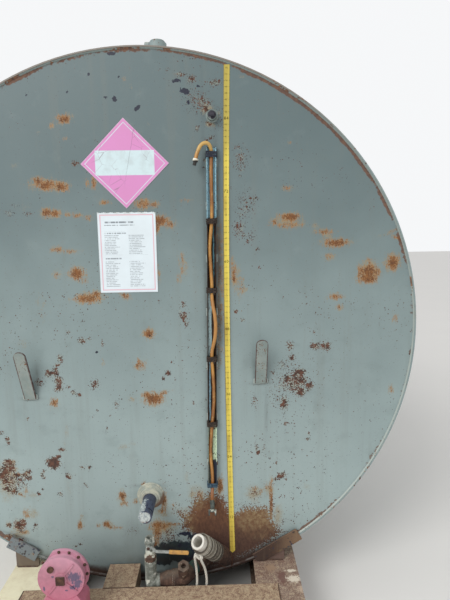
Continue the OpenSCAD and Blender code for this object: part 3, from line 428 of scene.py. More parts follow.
class Finish(Nodes):
    """A material in the making, with its shader and the colour laid so far."""

    def __init__(self, name):
        self.material = bpy.data.materials.new(name + "_finish")
        self.material.use_nodes = True
        self.material.node_tree.nodes.clear()
        super().__init__(self.material.node_tree)
        self.shader = self.make("BsdfPrincipled")
        self.make("OutputMaterial", {"Surface": self.shader.outputs[0]})
        self.place = self.make("TexCoord").outputs["Object"]
        self.colour = None

    def lay(self, mask, tone):
        """Lays a colour over what is there, where the mask is."""
        self.colour = self.mix(mask, self.colour, tone)

    def two_tone(self, value, low, high, first, second, most=1.0):
        """Mixes two colours by a value."""
        return self.mix(self.ramp(value, low, high, 0.0, most), first, second)

    def surface(self, rough, height, depth=0.0006, strength=0.6):
        """Joins colour, roughness and bump height to the shader."""
        bump = self.make("Bump", {"Height": height, "Distance": depth, "Strength": strength}).outputs[0]
        self.fill(self.shader, {"Base Color": self.colour, "Roughness": rough, "Normal": bump})
        return self.material

    def coated(self, value, low, high, smooth, rough, scale, depth, strength):
        """Surface whose roughness follows a value, with a fine grain."""
        return self.surface(self.ramp(value, low, high, smooth, rough), self.mask("grain", Scale=scale),
                            depth, strength)

    def at(self, centre):
        """Distances from a point on the end wall, given in millimetres from its middle."""
        return self.group("from_middle", Mid_X=centre[0] * MM, Mid_Z=AXIS_Z + centre[1] * MM)


def aged_paint(name, main, second, under, chips=0.3, rust=0.3, dust=0.3, rough=0.55, scale=1.0,
               pale=DUSTY, wear=0.4):
    """Old paint over steel: two tones, chips down to what is under it, rust, runs and dust.

    TINTS change the paint's own colour by place, and OVER lays marks on top of everything."""
    paint = bpy.context.scene.tank_paint
    n = Finish(name)
    n.colour = n.two_tone(n.noise(7.0 * scale, 4.0, 0.6), 0.35, 0.65, main, second)
    if name in TINTS:
        TINTS[name](n)
    n.lay(n.times(n.mask("streaks", Scale=26.0 * scale), 0.3 * rust), paint.tan)
    blotch = n.noise(5.5 * scale, 5.0, 0.62)
    n.lay(n.times(n.ramp(blotch, 0.66 - 0.16 * rust, 0.8 - 0.1 * rust), 0.5), paint.tan)
    rusted = n.ramp(blotch, 0.74 - 0.16 * rust, 0.78 - 0.12 * rust)
    density = n.ramp(n.noise(3.1 * scale), 0.35, 0.7, 0.1 * chips, 1.25 * chips)
    bare = n.most(n.mask("broken_edge", Mask=rusted, Scale=80.0 * scale, Breakup=1.6),
                  n.mask("specks", Density=density, Scale=75.0 * scale),
                  n.mask("edge_wear", Scale=60.0 * scale, Amount=wear))
    tones = n.group("rust_tones", Scale=45.0 * scale, Dark=under, Bright=paint.orange)
    n.lay(bare, tones["Color"])
    dusty = n.mask("settled_dust", Scale=16.0 * scale, Amount=dust)
    n.lay(dusty, pale)
    if name in OVER:
        OVER[name](n)
    return n.surface(n.ramp(n.sum(bare, dusty), 0.0, 1.0, rough, 0.9),
                     n.sum(n.mask("grain", Scale=320.0), n.times(bare, tones["Height"])))


def wall_paint():
    """The end wall's grey-green paint with its placed rust, chips, older paint and bare area."""
    paint = bpy.context.scene.tank_paint
    n = Finish("wall_paint")
    z = n.split()["Z"]
    drift = n.times(n.off_half(1.7, 3.0), 0.9)
    # Lighter towards the bottom: partly faded paint, partly painted light from the ground.
    n.colour = n.two_tone(n.sum(z, drift), 0.3, 2.45, paint.lower, paint.upper)
    n.lay(n.ramp(n.sum(z, n.times(drift, 0.5)), 0.52, 0.24, 0.0, 0.6), (0.37, 0.41, 0.405))
    cloud = n.noise(11.0, 5.0, 0.6)
    n.lay(n.ramp(cloud, 0.55, 0.85, 0.0, 0.1), (0.67, 0.71, 0.70))
    n.lay(n.ramp(cloud, 0.48, 0.22, 0.0, 0.25), (0.40, 0.45, 0.44))
    n.lay(n.times(n.mask("streaks", Scale=22.0), 0.16), (0.45, 0.46, 0.43))
    n.lay(n.ramp(n.noise(150.0, 3.0, 0.7), 0.6, 0.76, 0.0, 0.35), (0.45, 0.45, 0.41))
    wide, near, fine = n.off_half(42.0), n.off_half(75.0, 5.0), n.off_half(165.0)
    n.lay(n.ramp(n.sum(n.value_of("stain"), n.times(wide, 0.8), fine), 0.3, 0.85, 0.0, 0.72), paint.tan)
    core, height = placed_rust(n, wide, near, fine)
    oxide = bare_area(n, fine)
    chips = placed_chips(n, oxide, wide, fine)
    older_paint(n, z)
    radius = n.at((0.0, 0.0))["Radius"]
    band = n.times(n.ramp(radius, WALL_R - 0.032, WALL_R - 0.008), n.value_of("crevice"))
    band = n.mask("broken_edge", Mask=band, Scale=60.0, Breakup=1.0)
    n.lay(n.times(band, 0.82), n.two_tone(near, -0.1, 0.1, (0.35, 0.225, 0.17), (0.45, 0.30, 0.21)))
    rim = n.ramp(n.sum(radius, n.times(wide, 0.03)), WALL_R - 0.05, WALL_R - 0.012)
    # Dark foot of the rim: rust at the right, grime and painted shade along the bottom.
    n.lay(n.times(n.mask("low_edge_rust_and_shade"), rim), (0.24, 0.17, 0.14))
    # Grime and painted shadow lines beside the strip, the gauge and the hook lugs, and along the wall's foot.
    n.lay(n.times(n.value_of("grime_and_shadow"), n.ramp(n.noise(30.0), 0.25, 0.6, 0.5, 1.0)), (0.19, 0.145, 0.115))
    gone = n.most(core, oxide, chips, band)
    raised = n.sum(n.times(n.mask("grain", Scale=260.0), 0.6), n.times(gone, n.sum(height, -0.9)))
    return n.surface(n.ramp(gone, 0.0, 1.0, 0.5, 0.88), raised, 0.0009, 0.55)


def placed_rust(n, wide, near, fine):
    """Rust spots: a tan halo, a brighter smear that runs down and a dark core."""
    rust = n.value_of("rust")
    runs = n.off_half(95.0, 4.0, 0.75, 0.3)
    halo = n.sum(n.math("POWER", rust, 0.5), n.times(wide, 1.2), n.times(fine, 1.2), runs)
    n.lay(n.ramp(halo, 0.48, 1.05, 0.0, 0.66), (0.585, 0.51, 0.365))
    smear = n.sum(rust, near, fine, n.times(runs, 1.6))
    n.lay(n.ramp(smear, 0.36, 0.92, 0.0, 0.85), (0.585, 0.42, 0.245))
    core = n.mask("broken_edge", Mask=n.sum(rust, n.times(runs, 1.2), -0.3), Scale=170.0, Breakup=2.2)
    tones = n.group("rust_tones", Scale=46.0, Dark=(0.34, 0.21, 0.14), Bright=(0.50, 0.325, 0.18))
    n.lay(n.times(core, 0.88), tones["Color"])
    return core, tones["Height"]


def bare_area(n, fine):
    """The bare area at the lower right: brown streaks on its right side, dark red-brown on its left."""
    xyz = n.split()
    oxide = n.mask("broken_edge", Mask=n.sum(n.value_of("oxide"), n.times(fine, 1.9)), Scale=100.0, Breakup=1.9)
    runs = n.noise(120.0, 5.0, 0.75, 0.5)
    fall = n.ramp(n.sum(xyz["Z"], n.times(n.off_half(14.0), 0.12)), AXIS_Z - 0.86, AXIS_Z - 1.06)
    right, left = [n.mix(fall, n.two_tone(runs, 0.3, 0.7, *high), n.two_tone(runs, 0.3, 0.7, *low))
                   for high, low in (
        (((0.40, 0.285, 0.205), (0.52, 0.40, 0.28)), ((0.24, 0.165, 0.14), (0.34, 0.24, 0.19))),
        (((0.35, 0.23, 0.17), (0.46, 0.32, 0.22)), ((0.23, 0.15, 0.13), (0.31, 0.205, 0.17))))]
    bare = n.two_tone(n.sum(xyz["X"], n.times(fine, 0.05)), 0.33, 0.41, left, right)
    faded = n.ramp(n.sum(n.value_of("faded"), n.off_half(90.0, 5.0, 0.75, 0.35)), 0.3, 1.0)
    worn = n.mask("rust_tones", Scale=60.0, Dark=(0.42, 0.30, 0.21), Bright=(0.58, 0.51, 0.38))
    n.lay(oxide, n.mix(n.times(faded, 0.8), bare, worn))
    return oxide


def placed_chips(n, oxide, wide, fine):
    """Dark chips, scattered over the wall and thick in places, with a soft pale edge round them."""
    speck = n.value_of("speck")
    scattered = n.ramp(n.noise(2.4), 0.4, 0.7, 0.16, 0.42)
    thick = n.sum(n.times(n.math("POWER", speck, 0.7), 0.66), -0.06)
    chips = n.most(n.mask("specks", Density=n.most(speck, scattered), Scale=95.0),
                   n.mask("specks", Density=n.sum(n.times(speck, 0.95), -0.2), Scale=46.0),
                   n.mask("broken_edge", Mask=thick, Scale=160.0, Breakup=1.9))
    chips = n.times(chips, n.ramp(oxide, 0.0, 1.0, 1.0, 0.3))
    soft = n.ramp(n.sum(speck, wide, fine), 0.5, 1.0, 0.0, 0.4)
    n.lay(n.times(soft, n.ramp(oxide, 0.0, 1.0, 1.0, 0.0)), (0.66, 0.66, 0.57))
    dark = n.two_tone(n.noise(60.0), 0.35, 0.65, (0.22, 0.125, 0.10), (0.38, 0.225, 0.165))
    n.lay(n.times(chips, 0.95), dark)
    return chips


def older_paint(n, z):
    """Navy paint where the newer coat has come off, brushed and greener at the foot."""
    bared = n.ramp(n.mask("broken_edge", Mask=n.value_of("older"), Scale=60.0, Breakup=1.5), 0.15, 0.6)
    deep = n.two_tone(n.noise(60.0, 4.0), 0.56, 0.8, bpy.context.scene.tank_paint.navy, (0.22, 0.26, 0.32))
    foot = n.ramp(z, AXIS_Z - 0.98, AXIS_Z - 1.04)
    deep = n.mix(n.times(foot, n.ramp(n.noise(20.0), 0.4, 0.6)), deep, (0.14, 0.20, 0.21))
    brushed = n.ramp(n.noise(140.0, 4.0, 0.75, 0.4), 0.6, 0.72, 0.0, 0.6)
    n.lay(bared, n.mix(n.times(foot, brushed), deep, (0.47, 0.52, 0.52)))


def old_metal(name, dark, bright, bloom, bloom_at=0.6, rough=0.6, metallic=0.35, wear=0.35):
    """Bare or galvanised iron with rust or a white bloom on it."""
    n = Finish(name)
    tones = n.group("rust_tones", Scale=50.0, Dark=dark, Bright=bright)
    n.colour = tones["Color"]
    cloud = n.ramp(n.noise(26.0, 5.0, 0.65), bloom_at - 0.12, bloom_at + 0.1)
    spots = n.mask("broken_edge", Mask=cloud, Scale=130.0, Breakup=1.2)
    n.lay(n.most(spots, n.times(n.mask("edge_wear", Scale=90.0, Amount=wear), 0.7)), bloom)
    n.lay(n.mask("settled_dust", Scale=30.0, Amount=0.25), (0.66, 0.62, 0.55))
    if name in OVER:
        OVER[name](n)
    if metallic:
        n.fill(n.shader, {"Metallic": n.ramp(spots, 0.0, 1.0, metallic, 0.0)})
    return n.surface(n.ramp(spots, 0.0, 1.0, rough, 0.9), n.sum(n.mask("grain", Scale=420.0), tones["Height"]),
                     0.0008, 0.7)


def rope_finish():
    """Weathered white rope, grey-brown with dirt where it is wound, with painted shade in the grooves between its
    turns and between its strands.
    """
    n = Finish("rope_fibre")
    n.colour = n.two_tone(n.noise(24.0, 4.0, 0.6), 0.38, 0.66, bpy.context.scene.fittings.rope,
                          (0.70, 0.68, 0.63), 0.5)
    # Painted shade between the rope's strands.
    n.lay(n.ramp(n.value_of("lay"), 0.55, 0.0, 0.0, 0.8), (0.36, 0.33, 0.29))
    # Soil holds dirt and the painted shade in the grooves between turns.
    dirt = n.sum(n.value_of("soil"), n.times(n.off_half(60.0), 0.5))
    n.lay(n.ramp(dirt, 0.15, 0.85, 0.0, 0.85), (0.50, 0.47, 0.41))
    n.lay(n.ramp(dirt, 0.7, 1.35, 0.0, 0.9), (0.22, 0.19, 0.16))
    fibre = n.noise(900.0, 3.0, 0.7, 1.6)
    n.fill(n.shader, {"Sheen Weight": 0.1})
    return n.surface(n.ramp(fibre, 0.3, 0.7, 0.8, 0.98), fibre, 0.0005, 0.6)


def hose_finish():
    """Yellowed clear hose with darker liquid marks: lighter in its loop, redder towards its foot."""
    n = Finish("clear_hose")
    z = n.split()["Z"]
    marks = n.noise(28.0, 4.0, 0.6, 0.35)
    n.colour = n.two_tone(marks, 0.38, 0.64, bpy.context.scene.fittings.hose, (0.53, 0.345, 0.17))
    n.lay(n.ramp(n.noise(75.0), 0.56, 0.72, 0.0, 0.55), (0.79, 0.67, 0.42))
    n.lay(n.times(n.span(z, AXIS_Z - 0.1, AXIS_Z + 0.14, 0.03), 0.6), (0.70, 0.50, 0.27))
    n.lay(n.ramp(z, AXIS_Z + 0.76, AXIS_Z + 0.80, 0.0, 0.8), (0.80, 0.66, 0.38))
    n.lay(n.ramp(z, AXIS_Z - 0.6, AXIS_Z - 0.74, 0.0, 0.75), (0.50, 0.30, 0.16))
    n.fill(n.shader, {"Coat Weight": 0.15, "Coat Roughness": 0.18})
    return n.surface(n.ramp(marks, 0.3, 0.7, 0.25, 0.45), marks, 0.0002, 0.4)


def soft_plastic(name, main, worn, rough=0.5, mottle=60.0):
    """Moulded or wrapped plastic that has worn and soiled."""
    n = Finish(name)
    soil = n.noise(mottle, 4.0, 0.65)
    n.colour = n.two_tone(soil, 0.42, 0.7, main, worn)
    n.lay(n.times(n.mask("edge_wear", Radius=0.0012, Scale=140.0, Amount=0.45), 0.6), worn)
    if name in OVER:
        OVER[name](n)
    return n.coated(soil, 0.3, 0.7, rough, rough + 0.25, 900.0, 0.0003, 0.5)


def placard_finish():
    """Pink diamond with a white line inside its edge and a bare white band."""
    n = Finish("placard_sheet")
    u, v = n.value_of("sheet_u"), n.value_of("sheet_v")
    across, along = n.times(n.less(u, v), math.sqrt(0.5)), n.times(n.sum(u, v), math.sqrt(0.5))
    far = n.most(n.size(u), n.size(v))
    n.colour = n.mask("faded_print", Bright=bpy.context.scene.fittings.placard, Dark=(0.79, 0.53, 0.70))
    border = n.mask("line", Value=far, Centre=PLACARD_W / 2 - 13.0, Half=1.6)
    band = n.times(n.mask("line", Value=along, Centre=3.0, Half=52.0), n.mask("line", Value=across, Half=127.0))
    white = n.two_tone(n.noise(25.0, 4.0), 0.4, 0.7, (0.79, 0.865, 0.885), (0.70, 0.75, 0.76), 0.5)
    n.lay(n.most(n.times(border, 0.85), band), white)
    cracks = n.make("TexVoronoi", {"Vector": n.place, "Scale": 16.0}, feature="DISTANCE_TO_EDGE").outputs[0]
    crack = n.times(n.ramp(cracks, 0.012, 0.0), n.ramp(n.noise(8.0, 2.0), 0.48, 0.56))
    n.lay(n.times(crack, 0.7), (0.50, 0.42, 0.46))
    tear = n.sum(n.times(u, 0.55), n.times(v, -0.84), n.times(n.off_half(22.0), 9.0))
    tear = n.times(n.mask("line", Value=tear, Centre=14.0, Half=0.5), n.ramp(across, -10.0, 10.0))
    n.lay(n.times(tear, 0.75), (0.33, 0.30, 0.33))
    rim = n.sum(far, n.times(n.off_half(70.0), 9.0))
    n.lay(n.ramp(rim, PLACARD_W / 2 - 4.0, PLACARD_W / 2, 0.0, 0.6), (0.80, 0.76, 0.80))
    return n.coated(crack, 0.0, 1.0, 0.42, 0.8, 220.0, 0.0004, 0.4)


# Grey bars of the notice: (from height, to height, left, right, pitch, half weight, strength), in millimetres
NOTICE_BARS = [
    (118, 136, -98, 40, 18.0, 0.3, 0.75), (82, 92, -98, -10, 10.0, 0.3, 0.7), (-10, 78, -100, -40, 7.2, 0.24, 0.5),
    (-10, 78, 6, 70, 7.2, 0.24, 0.5), (-30, -20, -98, -20, 10.0, 0.3, 0.65), (-150, -34, -100, -44, 7.2, 0.24, 0.5),
    (-150, -34, 6, 66, 7.2, 0.24, 0.5),
]


def grey_bars(n, u, v, low, high, left, right, pitch, weight, tone):
    """Rows of broken grey bars between two heights and two sides of the notice."""
    level = n.times(v, 1.0 / pitch)
    row = n.math("FLOOR", level, 0.0)
    where = n.make("CombineXYZ", {"X": n.times(u, 0.16), "Y": n.times(row, 7.31)}).outputs[0]
    broken = n.ramp(n.noise(1.0, 2.0, 0.7, vector=where), 0.41, 0.46)
    ragged = n.make("CombineXYZ", {"Y": n.times(row, 3.77)}).outputs[0]
    end = n.times(n.noise(1.0, 0.0, vector=ragged), 90.0)
    rows = n.mask("line", Value=n.math("FRACT", level, 0.0), Centre=0.45, Half=weight, Soft=0.08)
    heights = n.mask("line", Value=v, Centre=(low + high) / 2, Half=(high - low) / 2)
    return n.times(rows, broken, heights, n.ramp(u, left - 1.0, left + 1.0),
                   n.ramp(n.sum(u, end), right + 44.0, right + 40.0), tone)


def notice_finish():
    """White sheet with a pink line inside its edge and soft grey bars."""
    n = Finish("notice_print")
    u, v = n.value_of("sheet_u"), n.value_of("sheet_v")
    n.colour = n.mask("faded_print", Bright=bpy.context.scene.fittings.sheet, Dark=(0.78, 0.81, 0.83))
    inside = n.most(n.less(n.size(u), NOTICE_W / 2), n.less(n.size(v), NOTICE_H / 2))
    n.lay(n.times(n.mask("line", Value=inside, Centre=-12.0, Half=2.2), 0.75), (0.85, 0.60, 0.66))
    bars = n.most(*[grey_bars(n, u, v, *bar) for bar in NOTICE_BARS])
    n.lay(bars, (0.30, 0.33, 0.37))
    top = n.ramp(v, NOTICE_H / 2 - 14.0, NOTICE_H / 2 - 4.0)
    n.lay(n.times(top, n.ramp(n.noise(60.0), 0.4, 0.6), 0.6), (0.73, 0.74, 0.72))
    n.lay(n.ramp(inside, -4.0, 0.0, 0.0, 0.35), (0.66, 0.68, 0.68))
    return n.coated(bars, 0.0, 1.0, 0.5, 0.6, 180.0, 0.0003, 0.35)


def strip_finish():
    """Yellow plastic strip: darker along its left side, partly with painted shade, brighter at its right, soiled at
    its top.
    """
    n = Finish("strip_yellow")
    xyz = n.split()
    height = n.times(n.sum(xyz["Z"], -AXIS_Z), 1.0 / MM)
    reach = n.times(n.sum(height, -STRIP_MID), 1.0 / STRIP_REACH)
    side = n.sum(n.times(xyz["X"], 1.0 / MM), -STRIP_X, n.times(reach, reach, -STRIP_BOW))
    soil = n.noise(40.0, 4.0, 0.6, 0.3)
    n.colour = n.two_tone(soil, 0.4, 0.72, bpy.context.scene.fittings.strip, (0.72, 0.63, 0.26))
    n.lay(n.ramp(side, 3.0, 7.0, 0.0, 0.7), (0.90, 0.83, 0.38))
    # Dark line along the strip's left side: partly soiled edge, partly painted shade.
    edge = n.ramp(n.sum(side, n.times(n.off_half(90.0), 3.0)), -STRIP_W / 2 + 3.2, -STRIP_W / 2 + 1.4)
    n.lay(n.times(edge, 0.7), (0.40, 0.33, 0.16))
    n.lay(n.ramp(height, 740.0, 860.0, 0.0, 0.7), (0.64, 0.58, 0.26))
    n.lay(n.ramp(height, -750.0, -1050.0, 0.0, 0.4), (0.72, 0.60, 0.27))
    n.lay(n.times(n.mask("edge_wear", Radius=0.0012, Scale=120.0), 0.6), (0.46, 0.38, 0.18))
    return n.coated(soil, 0.3, 0.7, 0.4, 0.65, 600.0, 0.0002, 0.4)


def nozzle_cap_finish():
    """Navy pipe whose cap has worn pale, with a navy ring left round its face."""
    n = Finish("nozzle_navy")
    y = n.split()["Y"]
    off = n.at(NOZZLE)
    face = n.times(n.ramp(y, FACE_Y - 0.168, FACE_Y - 0.174), n.ramp(off["Radius"], 0.025, 0.0225))
    side = n.times(n.ramp(off["X"], 0.012, -0.016), n.ramp(y, FACE_Y - 0.05, FACE_Y - 0.11))
    worn = n.ramp(n.noise(42.0, 4.0, 0.65), 0.42, 0.66, 0.0, 0.3)
    level = n.sum(n.times(face, 0.66), n.times(side, 0.62), worn)
    pale = n.mask("broken_edge", Mask=level, Scale=150.0, Breakup=1.5)
    navy = n.two_tone(n.noise(80.0), 0.4, 0.7, bpy.context.scene.fittings.navy, (0.13, 0.15, 0.24))
    white = n.two_tone(n.noise(110.0), 0.4, 0.7, (0.74, 0.77, 0.76), (0.50, 0.55, 0.58))
    n.colour = n.mix(pale, navy, white)
    root = n.sum(y, n.times(n.off_half(60.0), 0.02))
    n.lay(n.ramp(root, FACE_Y - 0.030, FACE_Y - 0.018, 0.0, 0.85), (0.27, 0.17, 0.13))
    n.lay(n.times(n.mask("specks", Density=0.42, Scale=170.0), 0.85), (0.24, 0.16, 0.14))
    under = n.ramp(off["Z"], -0.012, -0.028, 0.0, 0.5)
    n.lay(n.times(under, n.ramp(n.noise(70.0), 0.4, 0.6)), (0.42, 0.27, 0.19))
    return n.surface(n.ramp(pale, 0.0, 1.0, 0.5, 0.75), n.sum(n.mask("grain", Scale=420.0), pale), 0.0005)


# Paint left in the gauge's channel: (from height, to height, left, right) in millimetres from the channel's middle
CHANNEL_PAINT = [
    (505, 800, -30, 30, (0.60, 0.79, 0.86)), (200, 480, 5, 10, (0.33, 0.55, 0.60)),
    # The palest blue, at heights -110 to 178, is brightened beyond the paint to make up for the shade in the
    # channel: painted light.
    (-110, 178, -16, -2, (0.80, 0.93, 0.95)), (-418, -135, -14, -7, (0.62, 0.80, 0.88)),
    (-612, -442, -30, -6, (0.56, 0.62, 0.57)), (-612, -442, 2, 30, (0.84, 0.93, 0.80)),
    (-742, -612, -30, -4, (0.42, 0.45, 0.42)), (-742, -612, 4, 30, (0.15, 0.18, 0.26)),
]


def channel_finish():
    """Light blue paint left in parts of a dark brown channel; the dark brown is partly rust and partly painted
    shade inside the channel.
    """
    n = Finish("channel_blue")
    xyz = n.split()
    height = n.times(n.less(xyz["Z"], AXIS_Z), 1.0 / MM)
    shift = n.times(n.off_half(60.0, tall=0.4), 9.0)
    side = n.sum(n.times(xyz["X"], 1.0 / MM), -GAUGE_X, n.times(height, -math.tan(GAUGE_LEAN)), shift)
    rough_height = n.sum(height, n.times(shift, 3.0))
    # Dark brown ground: partly rust, partly painted shade inside the channel.
    brown = n.mask("rust_tones", Scale=45.0, Dark=(0.11, 0.085, 0.08), Bright=(0.27, 0.20, 0.16))
    n.colour, kept = brown, 0.0
    blotch = n.noise(90.0, 4.0)
    for foot, top, left, right, tone in CHANNEL_PAINT:
        mask = n.times(n.span(rough_height, foot, top, 6.0), n.span(side, left, right, 1.2))
        n.lay(mask, n.two_tone(blotch, 0.45, 0.7, tone, [c * 0.8 for c in tone]))
        kept = n.most(mask, kept)
    outer = n.ramp(n.size(n.split(n.normal())["X"]), 0.5, 0.8, 0.0, 0.6)
    n.lay(n.most(n.mask("specks", Density=0.34, Scale=85.0), outer, n.mask("edge_wear", Scale=80.0)), brown)
    return n.surface(n.ramp(kept, 0.0, 1.0, 0.9, 0.5), n.sum(n.mask("grain", Scale=400.0), kept), 0.0005)


def weld_finish():
    """Weld bead under the tank's paint, with rust in its hollows."""
    paint = bpy.context.scene.tank_paint
    n = Finish("weld_paint")
    # Lighter towards the bottom like the wall: partly faded paint, partly painted light from the ground.
    n.colour = n.two_tone(n.split()["Z"], 0.3, 2.45, (0.66, 0.70, 0.68), (0.50, 0.55, 0.54))
    hollows = n.ramp(n.noise(9.0, 5.0, 0.65), 0.5, 0.66)
    hollows = n.mask("broken_edge", Mask=hollows, Scale=90.0, Breakup=1.5)
    rust = n.mask("rust_tones", Scale=60.0, Dark=paint.brown, Bright=paint.orange)
    n.lay(n.times(hollows, 0.85), rust)
    # Dark foot: rust and grime, with painted shade along the bottom.
    n.lay(n.times(n.mask("low_edge_rust_and_shade"), 0.95), (0.20, 0.14, 0.115))
    return n.coated(hollows, 0.0, 1.0, 0.5, 0.9, 380.0, 0.0005, 0.5)


def ink_finish():
    """Dull black print, worn through in places."""
    n = Finish("black_print")
    worn = n.noise(120.0, 3.0, 0.7)
    n.colour = n.two_tone(worn, 0.5, 0.75, (0.26, 0.215, 0.11), (0.52, 0.45, 0.20))
    return n.surface(n.ramp(worn, 0.3, 0.7, 0.5, 0.7), worn, 0.0001, 0.3)


def shell_edge(n):
    """The shell's front edge: brownish at the top, greyer at the right, dark brown at the foot from rust and grime
    with painted shade.
    """
    xyz = n.split()
    edge = n.ramp(n.sum(xyz["Y"], n.times(n.off_half(60.0), 0.01)), FACE_Y + 0.012, FACE_Y + 0.002)
    n.lay(n.times(edge, n.ramp(xyz["Z"], AXIS_Z + 0.7, AXIS_Z + 1.1), 0.8), (0.48, 0.43, 0.39))
    # Dark foot: rust and grime, with painted shade along the bottom.
    n.lay(n.times(edge, n.mask("low_edge_rust_and_shade")), (0.20, 0.14, 0.115))


def collar_rust(n):
    """Rusty crescent at the right of and under the nozzle's collar."""
    off = n.at(NOZZLE)
    slant = n.sum(n.times(off["X"], 0.75), n.times(off["Z"], -0.66), n.times(n.off_half(70.0), 0.03))
    n.lay(n.ramp(slant, 0.026, 0.046, 0.0, 0.85), (0.42, 0.28, 0.19))


# Blue-grey worn places of the pump: (right, up, half width, half height) from its axis, in metres
PUMP_WEAR = [(0.056, 0.008, 0.026, 0.020), (0.064, -0.020, 0.018, 0.020), (0.046, -0.036, 0.012, 0.008),
             (-0.033, 0.011, 0.004, 0.004), (0.02, -0.05, 0.006, 0.004), (-0.07, -0.04, 0.004, 0.008)]


def ovals(n, x, y, spots, ragged):
    """Masks of ovals given as (x, y, half width, half height)."""
    return [n.mask("oval", X=x, Y=y, Mid_X=mid_x, Mid_Y=mid_y, Half_W=half_w, Half_H=half_h, Ragged=ragged)
            for mid_x, mid_y, half_w, half_h in spots]


def pump_wear(n):
    """Scuffed places on the pump's cover where dark primer shows through the pink."""
    off = n.at(PUMP)
    n.lay(n.ramp(off["Z"], 0.05, -0.11, 0.0, 0.6), (0.74, 0.37, 0.47))
    n.lay(n.ramp(off["Z"], 0.02, 0.10, 0.0, 0.4), (0.88, 0.66, 0.75))
    rough = n.times(n.off_half(190.0, 5.0, 0.8, 0.35), 4.4)
    front = n.ramp(n.split()["Y"], FACE_Y - 0.20, FACE_Y - 0.24)
    for mask in ovals(n, off["X"], off["Z"], PUMP_WEAR, rough):
        n.lay(n.times(mask, front, 0.85), (0.29, 0.29, 0.40))


def bar_tint(n):
    """Left bar grey, right bar dark brown that runs into tan."""
    x = n.sum(n.split()["X"], n.times(n.off_half(30.0), 0.06))
    right = n.two_tone(x, 0.54, 0.70, (0.25, 0.185, 0.155), (0.47, 0.375, 0.29))
    n.colour = n.two_tone(x, -0.02, 0.02, (0.45, 0.485, 0.50), right)


def bar_edge(n):
    """Tan line along the bars' upper edges, a painted highlight laid where the edges wear, and small dark chips."""
    dark = n.two_tone(n.noise(25.0), 0.45, 0.55, (0.20, 0.16, 0.15), (0.16, 0.18, 0.26))
    n.lay(n.times(n.mask("specks", Density=0.5, Scale=60.0), 0.85), dark)
    # Painted highlight along the bars' upper edges, laid where they wear.
    edge = n.mask("edge_wear", Radius=0.004, Scale=50.0, Amount=0.6)
    n.lay(n.times(edge, n.ramp(n.split(n.normal())["Z"], 0.0, 0.4), 0.8), (0.62, 0.48, 0.40))


def wedge_tint(n):
    """Wedges a little redder at the right."""
    n.colour = n.two_tone(n.split()["X"], -0.02, 0.02, (0.42, 0.375, 0.33), (0.42, 0.34, 0.31))


def speckled(n):
    n.colour = n.mask("speckle", Color=n.colour)


# Crusts on the right runner's top, as (x, y, half width, half depth) in millimetres from the end wall, with tones
RUNNER_MARKS = {
    (552, -215, 9, 52): (0.83, 0.78, 0.68), (592, -125, 20, 38): (0.44, 0.32, 0.29),
    (640, -86, 22, 9): (0.88, 0.84, 0.77), (646, -136, 32, 20): (0.88, 0.84, 0.77),
    (690, -200, 40, 22): (0.74, 0.66, 0.58), (545, -60, 24, 24): (0.62, 0.52, 0.43),
}


def runner_marks(n):
    """Speckle, and crusts of dust and rust on what faces up."""
    speckled(n)
    xyz = n.split()
    up = n.ramp(n.split(n.normal())["Z"], 0.5, 0.9)
    x, y = n.times(xyz["X"], 1.0 / MM), n.times(n.less(xyz["Y"], FACE_Y), 1.0 / MM)
    rough = n.times(n.off_half(85.0, 5.0, 0.75), 4.5)
    for mask, tone in zip(ovals(n, x, y, RUNNER_MARKS, rough), RUNNER_MARKS.values()):
        n.lay(n.times(mask, up, 0.88), tone)


def lug_edges(n):
    """Rust along the hook lugs' thin sides and rounded tops."""
    facing = n.split(n.normal())
    side = n.ramp(n.most(n.size(facing["X"]), facing["Z"]), 0.4, 0.75)
    broken = n.ramp(n.noise(70.0, 4.0, 0.7), 0.36, 0.5, 0.5, 0.95)
    across = n.times(n.split()["X"], 1.0 / MM)
    for x, _ in LUGS:
        away = n.size(n.sum(across, -x))
        side = n.most(side, n.times(n.ramp(away, LUG_W / 2 - 5.0, LUG_W / 2 - 2.0),
                                    n.ramp(away, LUG_W / 2 + 9.0, LUG_W / 2 + 6.0)))
    n.lay(n.times(side, broken), (0.30, 0.18, 0.16))


def plug_ring(n):
    """Grey ring of the upper plug round its dark middle."""
    radius = n.sum(n.at(UPPER_PLUG)["Radius"], n.times(n.off_half(150.0), 0.006))
    n.lay(n.times(n.ramp(radius, 0.0165, 0.0185), 0.85), (0.45, 0.50, 0.485))


def tip_ends(n):
    """The hose's tip: a white ring over a dark end."""
    n.lay(n.ramp(n.split()["Z"], AXIS_Z + 0.7445, AXIS_Z + 0.7425), (0.16, 0.15, 0.14))


# Tints under the wear of some finishes, and marks laid over some
TINTS = {"bar_paint": bar_tint, "wedge_rust": wedge_tint}
OVER = {"shell_paint": shell_edge, "lug_paint": lug_edges, "skid_red": runner_marks, "skid_tan": speckled,
        "bar_paint": bar_edge, "pump_pink": pump_wear, "cream_paint": collar_rust, "plug_iron": plug_ring,
        "pale_plastic": tip_ends}


WHOLE = {"wall_paint": wall_paint, "weld_paint": weld_finish, "nozzle_navy": nozzle_cap_finish,
         "channel_blue": channel_finish, "clear_hose": hose_finish, "rope_fibre": rope_finish,
         "placard_sheet": placard_finish, "notice_print": notice_finish, "strip_yellow": strip_finish,
         "black_print": ink_finish}


